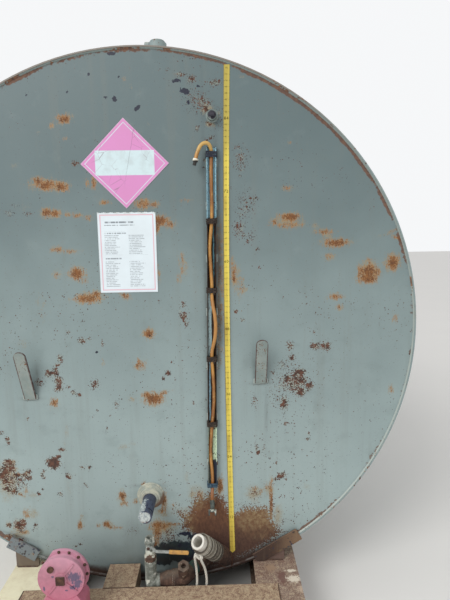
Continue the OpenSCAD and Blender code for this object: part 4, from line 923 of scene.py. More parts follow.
def finish(name):
    """A material by its plain name, made at its first use."""
    look, skid, paint = bpy.context.scene.fittings, bpy.context.scene.skid, bpy.context.scene.tank_paint
    made = bpy.data.materials.get(name + "_finish")
    if made or name in WHOLE:
        return made or WHOLE[name]()
    paints = {
        "shell_paint": (paint.shell, (0.53, 0.59, 0.59), paint.brown, 0.5, 0.5, 0.35),
        "lug_paint": ((0.56, 0.60, 0.585), (0.50, 0.555, 0.545), (0.30, 0.19, 0.17), 0.5, 0.5, 0.2, 0.55, 2.2,
                      DUSTY, 1.0),
        "skid_red": (skid.red, (0.52, 0.43, 0.38), DEEP_BROWN, 0.5, 0.5, 0.3, 0.75, 2.2, (0.74, 0.68, 0.61)),
        "skid_tan": (skid.tan, (0.62, 0.52, 0.43), BROWN, 0.45, 0.3, 0.4, 0.8, 2.6, (0.76, 0.69, 0.57)),
        # Left runner: dusty paint made paler for sunlight on it, partly painted light.
        "skid_pale": (skid.pale, (0.84, 0.80, 0.68), BROWN, 0.35, 0.3, 0.7, 0.75, 2.0, (0.92, 0.90, 0.79)),
        "bar_paint": (BROWN, BROWN, DEEP_BROWN, 0.5, 0.4, 0.15, 0.8, 3.0, (0.60, 0.52, 0.45)),
        "wedge_rust": (BROWN, BROWN, DEEP_BROWN, 0.4, 0.5, 0.35, 0.8, 3.0, (0.66, 0.58, 0.50)),
        "pump_pink": (look.pump, (0.66, 0.455, 0.515), (0.36, 0.37, 0.45), 0.22, 0.12, 0.15, 0.42, 6.0,
                      (0.82, 0.68, 0.71), 0.5),
        "cream_paint": (look.cream, (0.60, 0.63, 0.60), (0.38, 0.25, 0.18), 0.4, 0.4, 0.15, 0.6, 6.0,
                        (0.76, 0.75, 0.68), 0.45),
        "spout_paint": ((0.90, 0.89, 0.86), (0.80, 0.78, 0.74), (0.33, 0.27, 0.22), 0.3, 0.2, 0.1, 0.55, 6.0,
                        (0.86, 0.84, 0.80), 0.3),
        "green_paint": (look.green, (0.13, 0.18, 0.26), (0.10, 0.13, 0.22), 0.6, 0.2, 0.15, 0.55, 7.0,
                        (0.55, 0.56, 0.50), 0.4),
    }
    metals = {
        "rusty_iron": ((0.22, 0.155, 0.13), look.iron, (0.56, 0.50, 0.43), 0.66, 0.85, 0.0),
        "bell_iron": ((0.24, 0.17, 0.14), look.iron, (0.76, 0.75, 0.70), 0.66, 0.85, 0.0, 0.95),
        "reducer_iron": ((0.25, 0.185, 0.15), look.iron, (0.72, 0.72, 0.67), 0.55, 0.85, 0.0, 0.7),
        # plug_iron: the pale bloom on its edges and spots is partly painted highlight.
        "plug_iron": ((0.13, 0.13, 0.17), (0.24, 0.23, 0.27), (0.55, 0.57, 0.57), 0.64, 0.7, 0.1),
        "zinc": ((0.38, 0.40, 0.37), look.zinc, (0.80, 0.81, 0.77), 0.56, 0.7, 0.1),
        "lever_zinc": ((0.50, 0.52, 0.51), (0.66, 0.68, 0.67), (0.80, 0.81, 0.79), 0.6, 0.5, 0.25),
        "cock_zinc": ((0.25, 0.27, 0.26), (0.43, 0.47, 0.45), (0.72, 0.74, 0.70), 0.6, 0.6, 0.2),
        "bolt_iron": (DEEP_BROWN, (0.38, 0.26, 0.20), (0.50, 0.47, 0.43), 0.68, 0.8, 0.2),
    }
    plastics = {
        "black_tape": ((0.09, 0.11, 0.17), (0.20, 0.22, 0.28), 0.5, 140.0),
        "old_wire": ((0.15, 0.115, 0.10), (0.30, 0.25, 0.21), 0.7, 120.0),
        "blue_clamp": ((0.13, 0.22, 0.30), (0.28, 0.40, 0.46), 0.5, 120.0),
        "pale_plastic": ((0.88, 0.87, 0.82), (0.72, 0.69, 0.60), 0.45),
        "grip_vinyl": (look.grip, (0.62, 0.47, 0.30)),
    }
    maker, given = next((maker, table[name]) for maker, table in (
        (aged_paint, paints), (old_metal, metals), (soft_plastic, plastics)) if name in table)
    return maker(name, *given)


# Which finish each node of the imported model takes
DRESSED = {
    "shell_paint": ("rear_head", "shell_front_course", "shell_middle_course", "shell_rear_course",
                    "girth_welds", "manway_neck", "manway_cover", "vent", "fill_pipe", "lifting_lugs"),
    "lug_paint": ("hook_lugs",),
    "skid_red": ("runner_right", "rear_cross_beam", "cross_members", "saddle_plates"),
    "skid_tan": ("front_cross_beam", "stub_channel"),
    "skid_pale": ("runner_left",),
    "bar_paint": ("saddle_bars",),
    "wedge_rust": ("saddle_wedges",),
    "pump_pink": ("pump_body", "pump_cover", "pump_foot"),
    "bolt_iron": ("pump_plugs",),
    "cream_paint": ("nozzle_collar",),
    "nozzle_navy": ("nozzle_pipe",),
    "spout_paint": ("spout_pipe",),
    "green_paint": ("branch_pipe",),
    "rusty_iron": ("outlet_coupling", "spout_boss", "side_tee"),
    "bell_iron": ("bell_reducer",),
    "reducer_iron": ("valve_reducer",),
    "plug_iron": ("upper_plug",),
    "zinc": ("pipe_elbow", "valve_body"),
    "lever_zinc": ("valve_lever",),
    "cock_zinc": ("cock_body", "cock_handle"),
    "channel_blue": ("gauge_channel",),
    "pale_plastic": ("hose_tip",),
    "strip_yellow": ("scale_strip",),
}


def dress(finishes, round_edges=()):
    """Gives the nodes of these finishes their material, and rounds the edges of some."""
    for name in finishes:
        for node in DRESSED[name]:
            obj = NODES[node]
            obj.data.materials.clear()
            obj.data.materials.append(finish(name))
            if node in round_edges:
                obj.modifiers.new("join_faces", "WELD").merge_threshold = 2e-5
                bevel = obj.modifiers.new("worn_edges", "BEVEL")
                bevel.width, bevel.segments, bevel.angle_limit = 0.0012, 2, math.radians(38)
                bevel.use_clamp_overlap = True


def placed(origin, axis=(0, 0, 1), turn=0.0):
    """A place whose own Z runs along axis, turned about it."""
    aim = Vector(axis).to_track_quat("Z", "Y").to_matrix().to_4x4()
    return Matrix.Translation(origin) @ aim @ Matrix.Rotation(turn, 4, "Z")


def circle(count):
    """Cosines and sines of even steps round a circle."""
    return [(math.cos(2 * math.pi * k / count), math.sin(2 * math.pi * k / count)) for k in range(count)]


def round_rim(radius, out, up, count, lift=0.0):
    """Profile of a small round bar at a radius, in metres."""
    return [(radius + out * c, lift + up * s) for c, s in circle(count)]


def ring_path(centre, axis, radius, count):
    place = placed(centre, axis)
    return [place @ Vector((radius * c, radius * s, 0)) for c, s in circle(count)]


def slanted_ring(foot, direction, radius, count):
    """Where a slanted pipe's surface meets the end wall, in metres. foot and radius are in millimetres."""
    points = ring_path(foot, direction, radius, count)
    return [at_wall(*(p + direction * ((-1.5 - p.y) / direction.y))) for p in points]


def saddle_ring(radius, y, count):
    """Where an upright pipe meets the shell's top, in metres."""
    return [(radius * c, y + radius * s, AXIS_Z + math.sqrt(SHELL_R ** 2 - (radius * c) ** 2) + MM)
            for c, s in circle(count)]


def smooth_path(points, steps):
    """A path through the points with steps pieces between each two, in metres."""
    p = np.array(points, float)
    p = np.vstack([2 * p[0] - p[1], p, 2 * p[-1] - p[-2]])
    t = np.linspace(0, 1, steps, endpoint=False)[:, None]
    parts = [0.5 * (2 * b + (c - a) * t + (2 * a - 5 * b + 4 * c - d) * t ** 2 + (3 * b - a - 3 * c + d) * t ** 3)
             for a, b, c, d in zip(p, p[1:], p[2:], p[3:])]
    return np.vstack(parts + [p[-2:-1]])


def lengths(path):
    """Length along a path up to each of its points."""
    return np.concatenate([[0.0], np.cumsum(np.linalg.norm(np.diff(path, axis=0), axis=1))])


def band_faces(rows, sides, closed=False):
    """Faces between rows of ring points, with end caps unless the last row meets the first."""
    faces = [(i * sides + k, i * sides + (k + 1) % sides, (i + 1) % rows * sides + (k + 1) % sides,
              (i + 1) % rows * sides + k) for i in range(rows if closed else rows - 1) for k in range(sides)]
    if not closed:
        faces += [tuple(reversed(range(sides))), tuple(range((rows - 1) * sides, rows * sides))]
    return faces


def grid_faces(steps):
    """Faces of a square grid of points, and the numbers of the points round its border."""
    count = steps + 1
    i, j = np.meshgrid(np.arange(steps), np.arange(steps), indexing="ij")
    a = (i * count + j).ravel()
    border = (list(range(steps)) + [k * count + steps for k in range(steps)]
              + [steps * count + k for k in range(steps, 0, -1)] + [k * count for k in range(steps, 0, -1)])
    return np.stack([a, a + 1, a + count + 1, a + count], 1).tolist(), border


class Shape:
    """Points, faces and point values of one piece, gathered from several forms."""

    def __init__(self):
        self.points, self.faces, self.values = [], [], {}

    def add(self, points, faces, **values):
        start = len(self.points)
        self.points += [tuple(p) for p in points]
        self.faces += [tuple(i + start for i in f) for f in faces]
        for name, numbers in values.items():
            self.values.setdefault(name, []).extend(numbers)

    def lathe(self, place, profile, sides, closed=False):
        """Turns (radius, height) points in metres round the place's own Z."""
        points = [place @ Vector((r * c, r * s, h)) for r, h in profile for c, s in circle(sides)]
        self.add(points, band_faces(len(profile), sides, closed))

    def tube(self, path, radius, sides=8, closed=False, lobes=0, lay=0.05):
        """A round bar along a path. With lobes it is laid rope, whose strands turn once in lay metres."""
        path = np.asarray(path, float)
        radius = np.broadcast_to(np.asarray(radius, float), (len(path),))
        ahead = np.roll(path, -1, 0) - np.roll(path, 1, 0) if closed else np.gradient(path, axis=0)
        ahead /= np.linalg.norm(ahead, axis=1)[:, None] + SMALL
        side = np.cross(ahead[0], (0.13, 0.31, 0.94))
        side /= np.linalg.norm(side) + SMALL
        angles = np.arange(sides) * 2 * math.pi / sides
        rings, lays = [], []
        for centre, size, forward, along in zip(path, radius, ahead, lengths(path)):
            side = side - forward * (side @ forward)
            side /= np.linalg.norm(side) + SMALL
            other = np.cross(forward, side)
            bulge = np.ones(sides)
            if lobes:
                strand = np.abs(np.cos(lobes / 2 * (angles - 2 * math.pi * along / lay)))
                bulge = 0.8 + 0.2 * strand ** 0.6
                lays.extend(strand)
            out = np.cos(angles)[:, None] * side + np.sin(angles)[:, None] * other
            rings.append(centre + (size * bulge)[:, None] * out)
        self.add(np.vstack(rings), band_faces(len(path), sides, closed), **({"lay": lays} if lobes else {}))

    def bead(self, path, radius, closed=False, ripple=0.006):
        """A weld bead: a low round bar with the ripples of its run."""
        along = lengths(np.asarray(path, float))
        sizes = radius * (0.84 + 0.16 * np.abs(np.sin(math.pi * along / ripple))
                          + 0.07 * np.sin(along * 61.0) + 0.05 * np.sin(along * 23.0 + 1.0))
        self.tube(path, sizes, 6, closed)

    def bolt(self, origin, axis, across, turn=0.0, shank=0.0):
        """A hexagon head on its washer, with the end of its shank when asked."""
        place = placed(origin, axis, turn)
        r = across / math.sqrt(3)
        self.lathe(place, [(r * 1.32, 0.0), (r * 1.32, r * 0.16), (r * 1.24, r * 0.22)], 20)
        self.lathe(place, [(r, r * 0.2), (r, r * 0.95), (r * 0.86, r * 1.12)], 6)
        if shank:
            self.lathe(place, [(r * 0.5, r), (r * 0.5, r + shank * 0.8), (r * 0.4, r + shank)], 12)

    def finish(self, name, material, body="tank", slot="tank_paint", smooth=40, replaces=()):
        """Makes the piece, and lets it ride on its body."""
        mesh = bpy.data.meshes.new(name)
        mesh.from_pydata(self.points, [], self.faces)
        mesh.validate()
        mesh.update()
        for label, numbers in self.values.items():
            if len(numbers) != len(mesh.vertices):
                raise RuntimeError(f"{name}: {label} has {len(numbers)} values for {len(mesh.vertices)} points")
            mesh.attributes.new(label, "FLOAT", "POINT").data.foreach_set("value", np.array(numbers, np.float32))
        mesh.materials.append(finish(material))
        if smooth:
            mesh.set_sharp_from_angle(angle=math.radians(smooth))
        obj = bpy.data.objects.new(name, mesh)
        bpy.context.scene.collection.objects.link(obj)
        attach(obj, body)
        if replaces:
            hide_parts(*replaces)
        return obj


class TANK_OT_set_stage(Operator):
    """Floor, soft studio light and the camera at the photograph's viewing angle"""
    bl_idname = "tank.set_stage"
    bl_label = "Set the stage"

    def execute(self, context):
        scene, given = context.scene, context.scene.stage
        scene.view_settings.view_transform = "Standard"
        self.camera(scene, given)
        self.floor(scene, given)
        self.world(scene, given)
        self.key_light(scene, given)
        return {"FINISHED"}

    def camera(self, scene, given):
        data = bpy.data.cameras.new("photo_view")
        data.sensor_width, data.sensor_fit, data.lens = 36.0, "HORIZONTAL", given.lens
        data.clip_end = 400.0
        ahead = Vector((-math.sin(given.yaw) * math.cos(given.pitch),
                        math.cos(given.yaw) * math.cos(given.pitch), math.sin(given.pitch)))
        right = Vector((math.cos(given.yaw), math.sin(given.yaw), 0))
        up = right.cross(ahead)
        right_turned = right * math.cos(given.roll) + up * math.sin(given.roll)
        up_turned = up * math.cos(given.roll) - right * math.sin(given.roll)
        turn = Matrix((right_turned, up_turned, -ahead)).transposed().to_4x4()
        camera = bpy.data.objects.new("photo_view", data)
        camera.matrix_world = Matrix.Translation(given.place) @ turn
        scene.collection.objects.link(camera)
        scene.camera = camera

    def floor(self, scene, given):
        mesh = bpy.data.meshes.new("studio_floor")
        size = 60.0
        mesh.from_pydata([(-size, -size, 0), (size, -size, 0), (size, size, 0), (-size, size, 0)], [],
                         [(0, 1, 2, 3)])
        n = Finish("studio_floor")
        colour = n.two_tone(n.noise(0.8, 2.0), 0.3, 0.7, given.floor, (0.88, 0.875, 0.865), 0.25)
        n.fill(n.shader, {"Base Color": colour, "Roughness": 0.9})
        mesh.materials.append(n.material)
        floor = bpy.data.objects.new("studio_floor", mesh)
        scene.collection.objects.link(floor)

    def world(self, scene, given):
        world = bpy.data.worlds.new("studio_sky")
        scene.world = world
        world.use_nodes = True
        world.node_tree.nodes.clear()
        n = Nodes(world.node_tree)
        light = n.make("Background", {"Color": (1.0, 1.0, 1.0), "Strength": given.sky}).outputs[0]
        seen = n.make("Background", {"Color": (0.965, 0.97, 0.975), "Strength": 1.0}).outputs[0]
        path = n.make("LightPath").outputs
        rays = n.most(path["Is Camera Ray"], path["Is Glossy Ray"], path["Is Transmission Ray"])
        n.make("OutputWorld", {"Surface": n.make("MixShader", {0: rays, 1: light, 2: seen}).outputs[0]})

    def key_light(self, scene, given):
        data = bpy.data.lights.new("soft_key", "AREA")
        data.shape, data.size, data.energy = "DISK", 5.0, given.key
        data.color = (1.0, 0.985, 0.96)
        lamp = bpy.data.objects.new("soft_key", data)
        origin = Vector((-5.0, -9.5, 8.0))
        aim = (Vector((0, -1.0, 1.2)) - origin).to_track_quat("-Z", "Y").to_matrix().to_4x4()
        lamp.matrix_world = Matrix.Translation(origin) @ aim
        scene.collection.objects.link(lamp)


class TANK_OT_wind_rope(Operator):
    """Rope wound on the spout, its knot and its two loose ends"""
    bl_idname = "tank.wind_rope"
    bl_label = "Wind the rope"

    def execute(self, context):
        diameter = context.scene.tank_sizes.rope
        winding, path = self.winding(diameter)
        knot = self.knot(diameter)
        for side, route in (("left", TAIL_LEFT), ("right", TAIL_RIGHT)):
            self.tail(side, route, diameter)
        return {"FINISHED"}

    def laid(self, shape, path, width, closed=False):
        """Three-strand rope along a path."""
        shape.tube(path, width / 2, 12, closed, 3, ROPE_LAY)

    def soil_and_groove_shade_of(self, points, path):
        """More dirt near the end wall and in some turns, and painted shade in the grooves between turns."""
        out = np.array(points).reshape(len(path), -1, 3) - path[:, None, :]
        out /= np.linalg.norm(out, axis=2)[..., None] + SMALL
        # Painted shade where the rope faces along the spout, in the grooves between turns.
        groove = np.abs(out @ np.array(SPOUT_DIR)) ** 2
        turn = np.linspace(0, WIND_TURNS, len(path))[:, None]
        tone = 0.3 * np.sin(np.floor(turn) * 2.4) + 0.16 * np.sin(turn * 5.1)
        return (0.98 - 0.62 * (turn / WIND_TURNS) ** 2.2 + tone + 0.75 * groove).ravel()

    def winding(self, diameter):
        place = placed(SPOUT_FOOT, SPOUT_DIR)
        half = diameter / MM / 2
        room = (WIND_TO - WIND_FROM - 2 * half) / WIND_TURNS
        steps = 88
        path = []
        for i in range(WIND_TURNS * steps + 1):
            turn = i / steps
            a = 2 * math.pi * turn - 2.2
            slip = 0.35 * math.sin(turn * 2.1) + 0.25 * math.sin(turn * 5.3 + 1.0)
            radius = SPOUT_R + 0.3 + half + 0.35 * math.sin(turn * 3.7 + 0.5)
            p = Vector((radius * math.cos(a), radius * math.sin(a), WIND_FROM + half + turn * room + slip))
            path.append(at_wall(*(place @ p)))
        path = np.array(path)
        shape = Shape()
        self.laid(shape, path, diameter)
        shape.values["soil"] = self.soil_and_groove_shade_of(shape.points, path).tolist()
        return shape.finish("rope_winding", "rope_fibre", slot="rope", smooth=0, replaces=["rope_coil"]), path

    def knot(self, diameter):
        """Half hitches that hold the two loose ends under the winding's last turns."""
        shape = Shape()
        middle = SPOUT_FOOT + Vector((-99.0, -149.5, 108.0))
        across = Vector((21.0, -2.6, -10.0)).normalized()
        out = Vector((0.05, -0.72, -0.69)).normalized()
        third = across.cross(out).normalized()
        r = diameter / MM
        loop = [middle + across * (r * 1.55 * math.cos(t)) + out * (r * 0.5 * math.sin(t) + 1.0)
                + third * (r * 0.42 * math.sin(2 * t)) for t in np.linspace(0, 2 * math.pi, 40, endpoint=False)]
        cross = [middle + across * (t * r * 1.3) + out * (r * (0.75 - 0.35 * t * t)) + third * (r * 0.35 * t)
                 for t in np.linspace(-1, 1, 22)]
        for path, closed in ((loop, True), (cross, False)):
            self.laid(shape, [at_wall(*p) for p in path], diameter * 0.9, closed)
        shape.values["soil"] = [TAIL_SOIL] * len(shape.points)
        return shape.finish("rope_knot", "rope_fibre", slot="rope", smooth=0)

    def tail(self, side, route, diameter):
        path = smooth_path([at_wall(*(SPOUT_FOOT + Vector(p))) for p in route], 10)
        shape = Shape()
        self.laid(shape, path, diameter)
        shape.values["soil"] = [TAIL_SOIL] * len(shape.points)
        obj = shape.finish("rope_end_" + side, "rope_fibre", slot="rope", smooth=0,
                           replaces=["rope_tail_" + side])
        fray = self.fray(side, Vector(path[-1]), (Vector(path[-1]) - Vector(path[-6])).normalized(), diameter)

    def fray(self, side, end, ahead, diameter):
        """Short loose yarns at a cut end."""
        shape = Shape()
        for k in range(14):
            out = Vector((math.cos(2.4 * k), math.sin(2.4 * k), 0))
            root = end + out * diameter * (0.1 + 0.02 * k)
            tip = root + ahead * 0.006 + out * 0.0012 * (k % 4)
            shape.tube(np.linspace(root - ahead * 0.003, tip, 4), (0.0009, 0.0009, 0.0008, 0.0004), 5)
        shape.values = {"lay": [0.9] * len(shape.points), "soil": [0.15] * len(shape.points)}
        return shape.finish("rope_fray_" + side, "rope_fibre", slot="rope", smooth=0)


# Marks on the end wall, as (x, height, half width, half height, strength, turn in degrees), in millimetres
RUST_SPOTS = [
    (-322, 929, 24, 15, 1.05), (-373, 903, 8, 10, .7), (-320, 849, 7, 7, .75), (-445, 672, 22, 16, .95),
    (-415, 655, 28, 16, 1.05), (-388, 660, 14, 18, .85), (-350, 650, 28, 17, 1.0), (-236, 665, 8, 18, .6),
    (-207, 660, 9, 20, .9), (-165, 579, 18, 8, .8), (-418, 540, 20, 16, .95), (-385, 535, 24, 13, .95),
    (-330, 530, 14, 8, .75), (-285, 525, 18, 9, .8), (-235, 515, 20, 10, .7), (0, 570, 30, 20, .8),
    (50, 567, 20, 12, .75), (75, 497, 26, 18, 1.15), (112, 482, 22, 14, .85), (58, 465, 9, 18, .95),
    (-59, 1088, 8, 8, .6), (-30, 1056, 7, 7, .5), (-385, 380, 20, 11, .85), (-320, 370, 25, 9, .75),
    (-390, 270, 18, 14, .5), (-302, 273, 24, 21, 1.15), (-270, 240, 14, 14, .6), (-225, 178, 20, 14, .95),
    (-262, 160, 44, 17, 1.0), (-93, 170, 20, 10, .95, -30), (5, -5, 18, 16, 1.1), (-40, -148, 20, 20, .85),
    (-205, -135, 7, 18, .5), (18, -312, 34, 24, 1.1), (-14, -292, 20, 14, .95), (62, -285, 22, 9, .8, 20),
    (-85, -310, 12, 10, .4), (-440, -320, 14, 18, .95), (187, 583, 18, 6, .7), (575, 485, 16, 13, .8),
    (645, 505, 34, 14, 1.15), (634, 630, 17, 9, .75), (643, 822, 8, 6, .6), (640, 470, 48, 12, .75),
    (608, 497, 16, 12, .5), (707, 488, 9, 9, .5), (755, 470, 12, 9, .5), (757, 445, 9, 8, .45),
    (800, 438, 34, 10, .85), (787, 418, 7, 14, .6), (828, 416, 8, 15, .6), (850, 390, 44, 15, 1.05),
    (822, 328, 22, 14, .7), (1000, 262, 26, 26, 1.1), (997, 232, 34, 22, 1.05), (966, 262, 14, 30, .9),
    (1034, 258, 14, 28, .85), (1000, 310, 12, 10, .7), (1105, 298, 24, 28, 1.05), (850, 150, 28, 12, .8),
    (870, 100, 14, 11, .7), (1125, 45, 10, 18, .7), (1115, -290, 10, 18, .65), (-148, -782, 13, 19, 1.05),
    (-140, -820, 16, 16, .7), (-355, -928, 10, 18, .95), (-345, -895, 8, 18, .5), (-270, -930, 9, 10, .7),
    (-228, -925, 16, 14, 1.0), (-208, -940, 12, 9, .85), (-180, -945, 24, 8, .6), (-605, -862, 16, 20, .7),
    (-640, -920, 22, 24, .62), (-625, -900, 13, 11, .6), (-690, -915, 15, 12, .6), (-620, -955, 20, 8, .8),
    (-692, -978, 20, 11, .6), (165, 325, 11, 26, .6), (172, 285, 13, 18, .6), (152, 250, 11, 18, .55),
    (58, 300, 6, 10, .6), (60, 262, 8, 22, .6), (395, 262, 10, 34, .85), (393, 235, 8, 15, 1.1),
    (386, 300, 12, 26, .6), (420, 205, 20, 36, .55), (432, 188, 13, 14, .65), (20, -940, 36, 20, .95),
    (8, -968, 18, 34, .9), (60, -935, 18, 10, .8), (48, -818, 9, 42, 1.0), (36, -866, 14, 10, .8),
    (88, -836, 5, 9, .8), (215, -792, 22, 18, .75), (312, -732, 10, 20, .6), (-45, -728, 8, 11, 1.0),
    (-88, -812, 9, 10, .8), (-8, -1030, 20, 26, .95), (558, -837, 4, 88, 1.05), (316, -745, 13, 38, 1.0),
    (480, -765, 14, 12, .55), (510, -775, 12, 11, .6), (540, -755, 18, 20, .5), (-677, -640, 22, 22, .65),
    (-700, -668, 20, 18, .65), (-640, -664, 26, 6, .85), (-592, -660, 14, 11, .6), (-655, -745, 14, 13, .6),
    (-665, -600, 22, 8, .8), (-648, -628, 9, 20, .8, 20), (-620, -765, 16, 6, .8, -25), (-596, -740, 5, 16, .7),
    (95, -935, 26, 4, .8), (322, 640, 8, 130, .5), (332, 400, 14, 90, .6), (332, 240, 14, 90, .65),
    (328, 80, 13, 90, .65), (324, -70, 11, 80, .6), (1125, 446, 8, 60, .6, -68), (1152, 397, 8, 40, 1.0, 70),
    (-470, 120, 26, 60, .25), (-455, 655, 40, 18, .45),
]
SPECK_SPOTS = [
    (-640, -920, 24, 26, 1.25), (-622, -900, 14, 12, 1.2), (-690, -915, 15, 12, 1.1), (-692, -978, 22, 13, 1.1),
    (-677, -640, 34, 30, 1.15), (-700, -668, 26, 24, 1.1), (-640, -664, 34, 10, 1.0), (-600, -670, 15, 18, 1.1),
    (-655, -745, 18, 18, 1.1), (-665, -600, 26, 12, 1.0), (-630, -700, 46, 46, .72), (-519, -668, 8, 16, 1.0),
    (-543, -758, 7, 7, 1.0), (-398, -675, 10, 12, 1.1), (-438, -765, 12, 9, .9), (-318, -720, 8, 7, .9),
    (-360, -1022, 10, 8, .9), (-640, -1000, 30, 12, .9), (430, 750, 40, 60, .55), (450, 560, 44, 70, .55),
    (470, 420, 36, 50, .45), (640, -160, 70, 40, .5), (600, -300, 60, 90, .5), (330, 930, 40, 60, .5),
    (240, 1000, 60, 60, .55), (284, 960, 22, 16, .9), (298, 905, 18, 10, .9), (225, 1085, 20, 20, .8),
    (178, 1104, 26, 8, .9), (325, 1070, 35, 14, .8), (270, 990, 35, 30, .75), (245, 885, 8, 14, .9),
    (305, 847, 14, 10, .8), (282, 835, 7, 7, .9), (275, 752, 10, 12, .8), (270, 722, 7, 7, .8),
    (-285, 745, 20, 12, .8), (-185, 838, 7, 7, .7), (-580, 540, 24, 12, .7), (-500, 535, 22, 10, .6),
    (-550, 570, 22, 10, .6), (-590, 449, 7, 7, .8), (415, 802, 14, 9, .8), (434, 770, 8, 35, .8),
    (412, 720, 8, 12, .7), (432, 706, 8, 8, .8), (425, 683, 7, 7, .8), (383, 635, 7, 7, .7),
    (485, 587, 25, 8, .7), (455, 558, 9, 9, .7), (428, 520, 11, 13, .8), (420, 460, 25, 40, .75),
    (440, 428, 18, 10, .8), (-357, 8, 9, 10, .9), (-297, -32, 18, 14, 1.0), (-263, -20, 8, 8, .8),
    (-205, -45, 6, 14, .9), (-400, -110, 13, 15, 1.0), (-410, -140, 18, 9, .9), (-455, -180, 18, 18, 1.0),
    (-425, -175, 14, 22, 1.0), (-412, -218, 17, 20, 1.2), (-415, -252, 20, 14, 1.0), (-368, -243, 10, 8, .9),
    (-350, -272, 11, 11, 1.0), (-325, -285, 15, 8, .9), (-250, -235, 20, 22, .9), (-157, -335, 12, 20, .8),
    (-243, -360, 7, 7, .8), (-262, -390, 7, 7, .8), (-185, -390, 7, 7, .8), (-567, -392, 8, 8, 1.0),
    (755, -12, 8, 8, .9), (760, -78, 18, 16, 1.1), (810, -78, 22, 18, 1.1), (645, -75, 16, 20, .9),
    (655, -130, 16, 14, .9), (610, -165, 12, 14, .8), (570, -200, 18, 10, .8), (665, -245, 70, 50, .9),
    (690, -200, 26, 18, 1.2), (700, -240, 24, 22, 1.2), (695, -290, 20, 22, 1.2), (735, -265, 18, 18, 1.1),
    (617, -345, 20, 38, .95), (625, -445, 8, 8, 1.2), (1213, -18, 10, 14, 1.0), (1205, -110, 10, 20, 1.0),
    (515, -240, 34, 12, .9), (-500, -220, 22, 18, .8), (480, -330, 16, 40, .6), (165, 70, 15, 15, 1.2),
    (150, 92, 6, 9, 1.0), (165, 125, 14, 18, .8), (175, 40, 12, 20, .8), (55, 145, 8, 6, .6),
    (10, -18, 10, 8, .9), (85, -190, 12, 10, 1.1), (65, -215, 8, 8, 1.0), (105, -140, 7, 10, .7),
    (200, -335, 7, 10, .9), (255, -320, 6, 6, .8), (400, 90, 8, 8, 1.2), (415, 125, 6, 6, .8),
    (430, 50, 13, 8, .8), (455, 405, 10, 10, .8), (500, 370, 11, 9, .8, -40), (505, 285, 7, 9, .7),
    (-665, -490, 9, 12, 1.1), (-662, -508, 7, 7, 1.2), (-690, -460, 18, 10, .8), (-668, -610, 30, 20, 1.0),
    (-680, -690, 34, 30, 1.0), (-583, -650, 16, 12, 1.1), (-575, -682, 11, 12, 1.2), (-680, -735, 22, 14, 1.1),
    (-640, -700, 12, 10, .9), (-460, -612, 23, 23, 1.7), (-435, -580, 11, 10, 1.2), (-422, -545, 12, 10, 1.1),
    (-405, -547, 7, 7, .9), (-490, -600, 9, 11, 1.1), (-485, -622, 8, 8, 1.0), (-506, -650, 6, 9, 1.0),
    (-507, -682, 6, 9, 1.0), (-330, -635, 13, 8, .9), (-297, -638, 8, 8, 1.3), (-388, -683, 8, 8, 1.3),
    (-365, -670, 6, 6, .9), (-433, -773, 6, 9, 1.0), (-518, -740, 6, 6, 1.1), (-535, -765, 6, 6, 1.1),
    (-545, -795, 6, 6, .9), (-312, -733, 6, 6, 1.0), (-380, -1033, 12, 7, .8), (-205, -452, 6, 14, .9),
    (-563, -920, 10, 18, .8), (-580, -942, 10, 8, .7), (605, -703, 18, 12, 1.2), (578, -718, 8, 8, 1.1),
    (615, -690, 9, 9, 1.1), (630, -720, 7, 7, 1.0), (490, -560, 9, 26, .9), (485, -540, 6, 20, .7),
    (498, -582, 8, 12, 1.1), (525, -560, 7, 16, .8), (530, -600, 7, 9, .9), (550, -612, 6, 6, 1.0),
    (583, -637, 7, 9, 1.0), (495, -642, 6, 6, .9), (440, -632, 6, 6, .9), (440, -530, 9, 7, .6),
    (735, -495, 7, 7, 1.1), (730, -522, 8, 7, 1.2), (535, -460, 5, 18, .6), (478, -790, 30, 36, .6),
    (560, -850, 20, 60, .6), (620, -930, 20, 16, .6), (450, -850, 60, 22, .6), (-30, -735, 12, 12, .9),
    (-110, -960, 40, 20, .5), (60, -1000, 50, 40, .7), (600, -990, 50, 20, .6),
]
OLDER_SPOTS = [
    (-109, 1190, 18, 8, 1.1), (-103, 1008, 11, 11, 1.1), (-139, 1013, 10, 5, 1.0), (-8, 970, 17, 7, 1.1, 35),
    (-78, 1096, 6, 5, 1.0), (-204, 1107, 6, 6, .9), (-299, 1041, 6, 5, .9), (-470, 1028, 7, 5, .7),
    (160, 1079, 17, 8, 1.0), (195, 1038, 19, 12, 1.05, -30), (210, 991, 7, 10, .95), (252, 1057, 9, 6, .9),
    (265, 948, 6, 6, .9), (231, 973, 5, 5, .8), (-232, -85, 7, 7, 1.0), (140, -985, 30, 12, .95),
    (178, -1004, 26, 16, .9), (130, -1040, 40, 15, 1.0), (95, -1075, 95, 46, 1.3), (175, -1120, 50, 40, 1.2),
    (30, -1120, 50, 26, 1.1), (-700, -1000, 9, 9, .9), (-690, -1046, 34, 9, .9, -22),
    (-640, -1072, 30, 8, .8, -22), (-570, -1085, 40, 10, .8, -6),
]
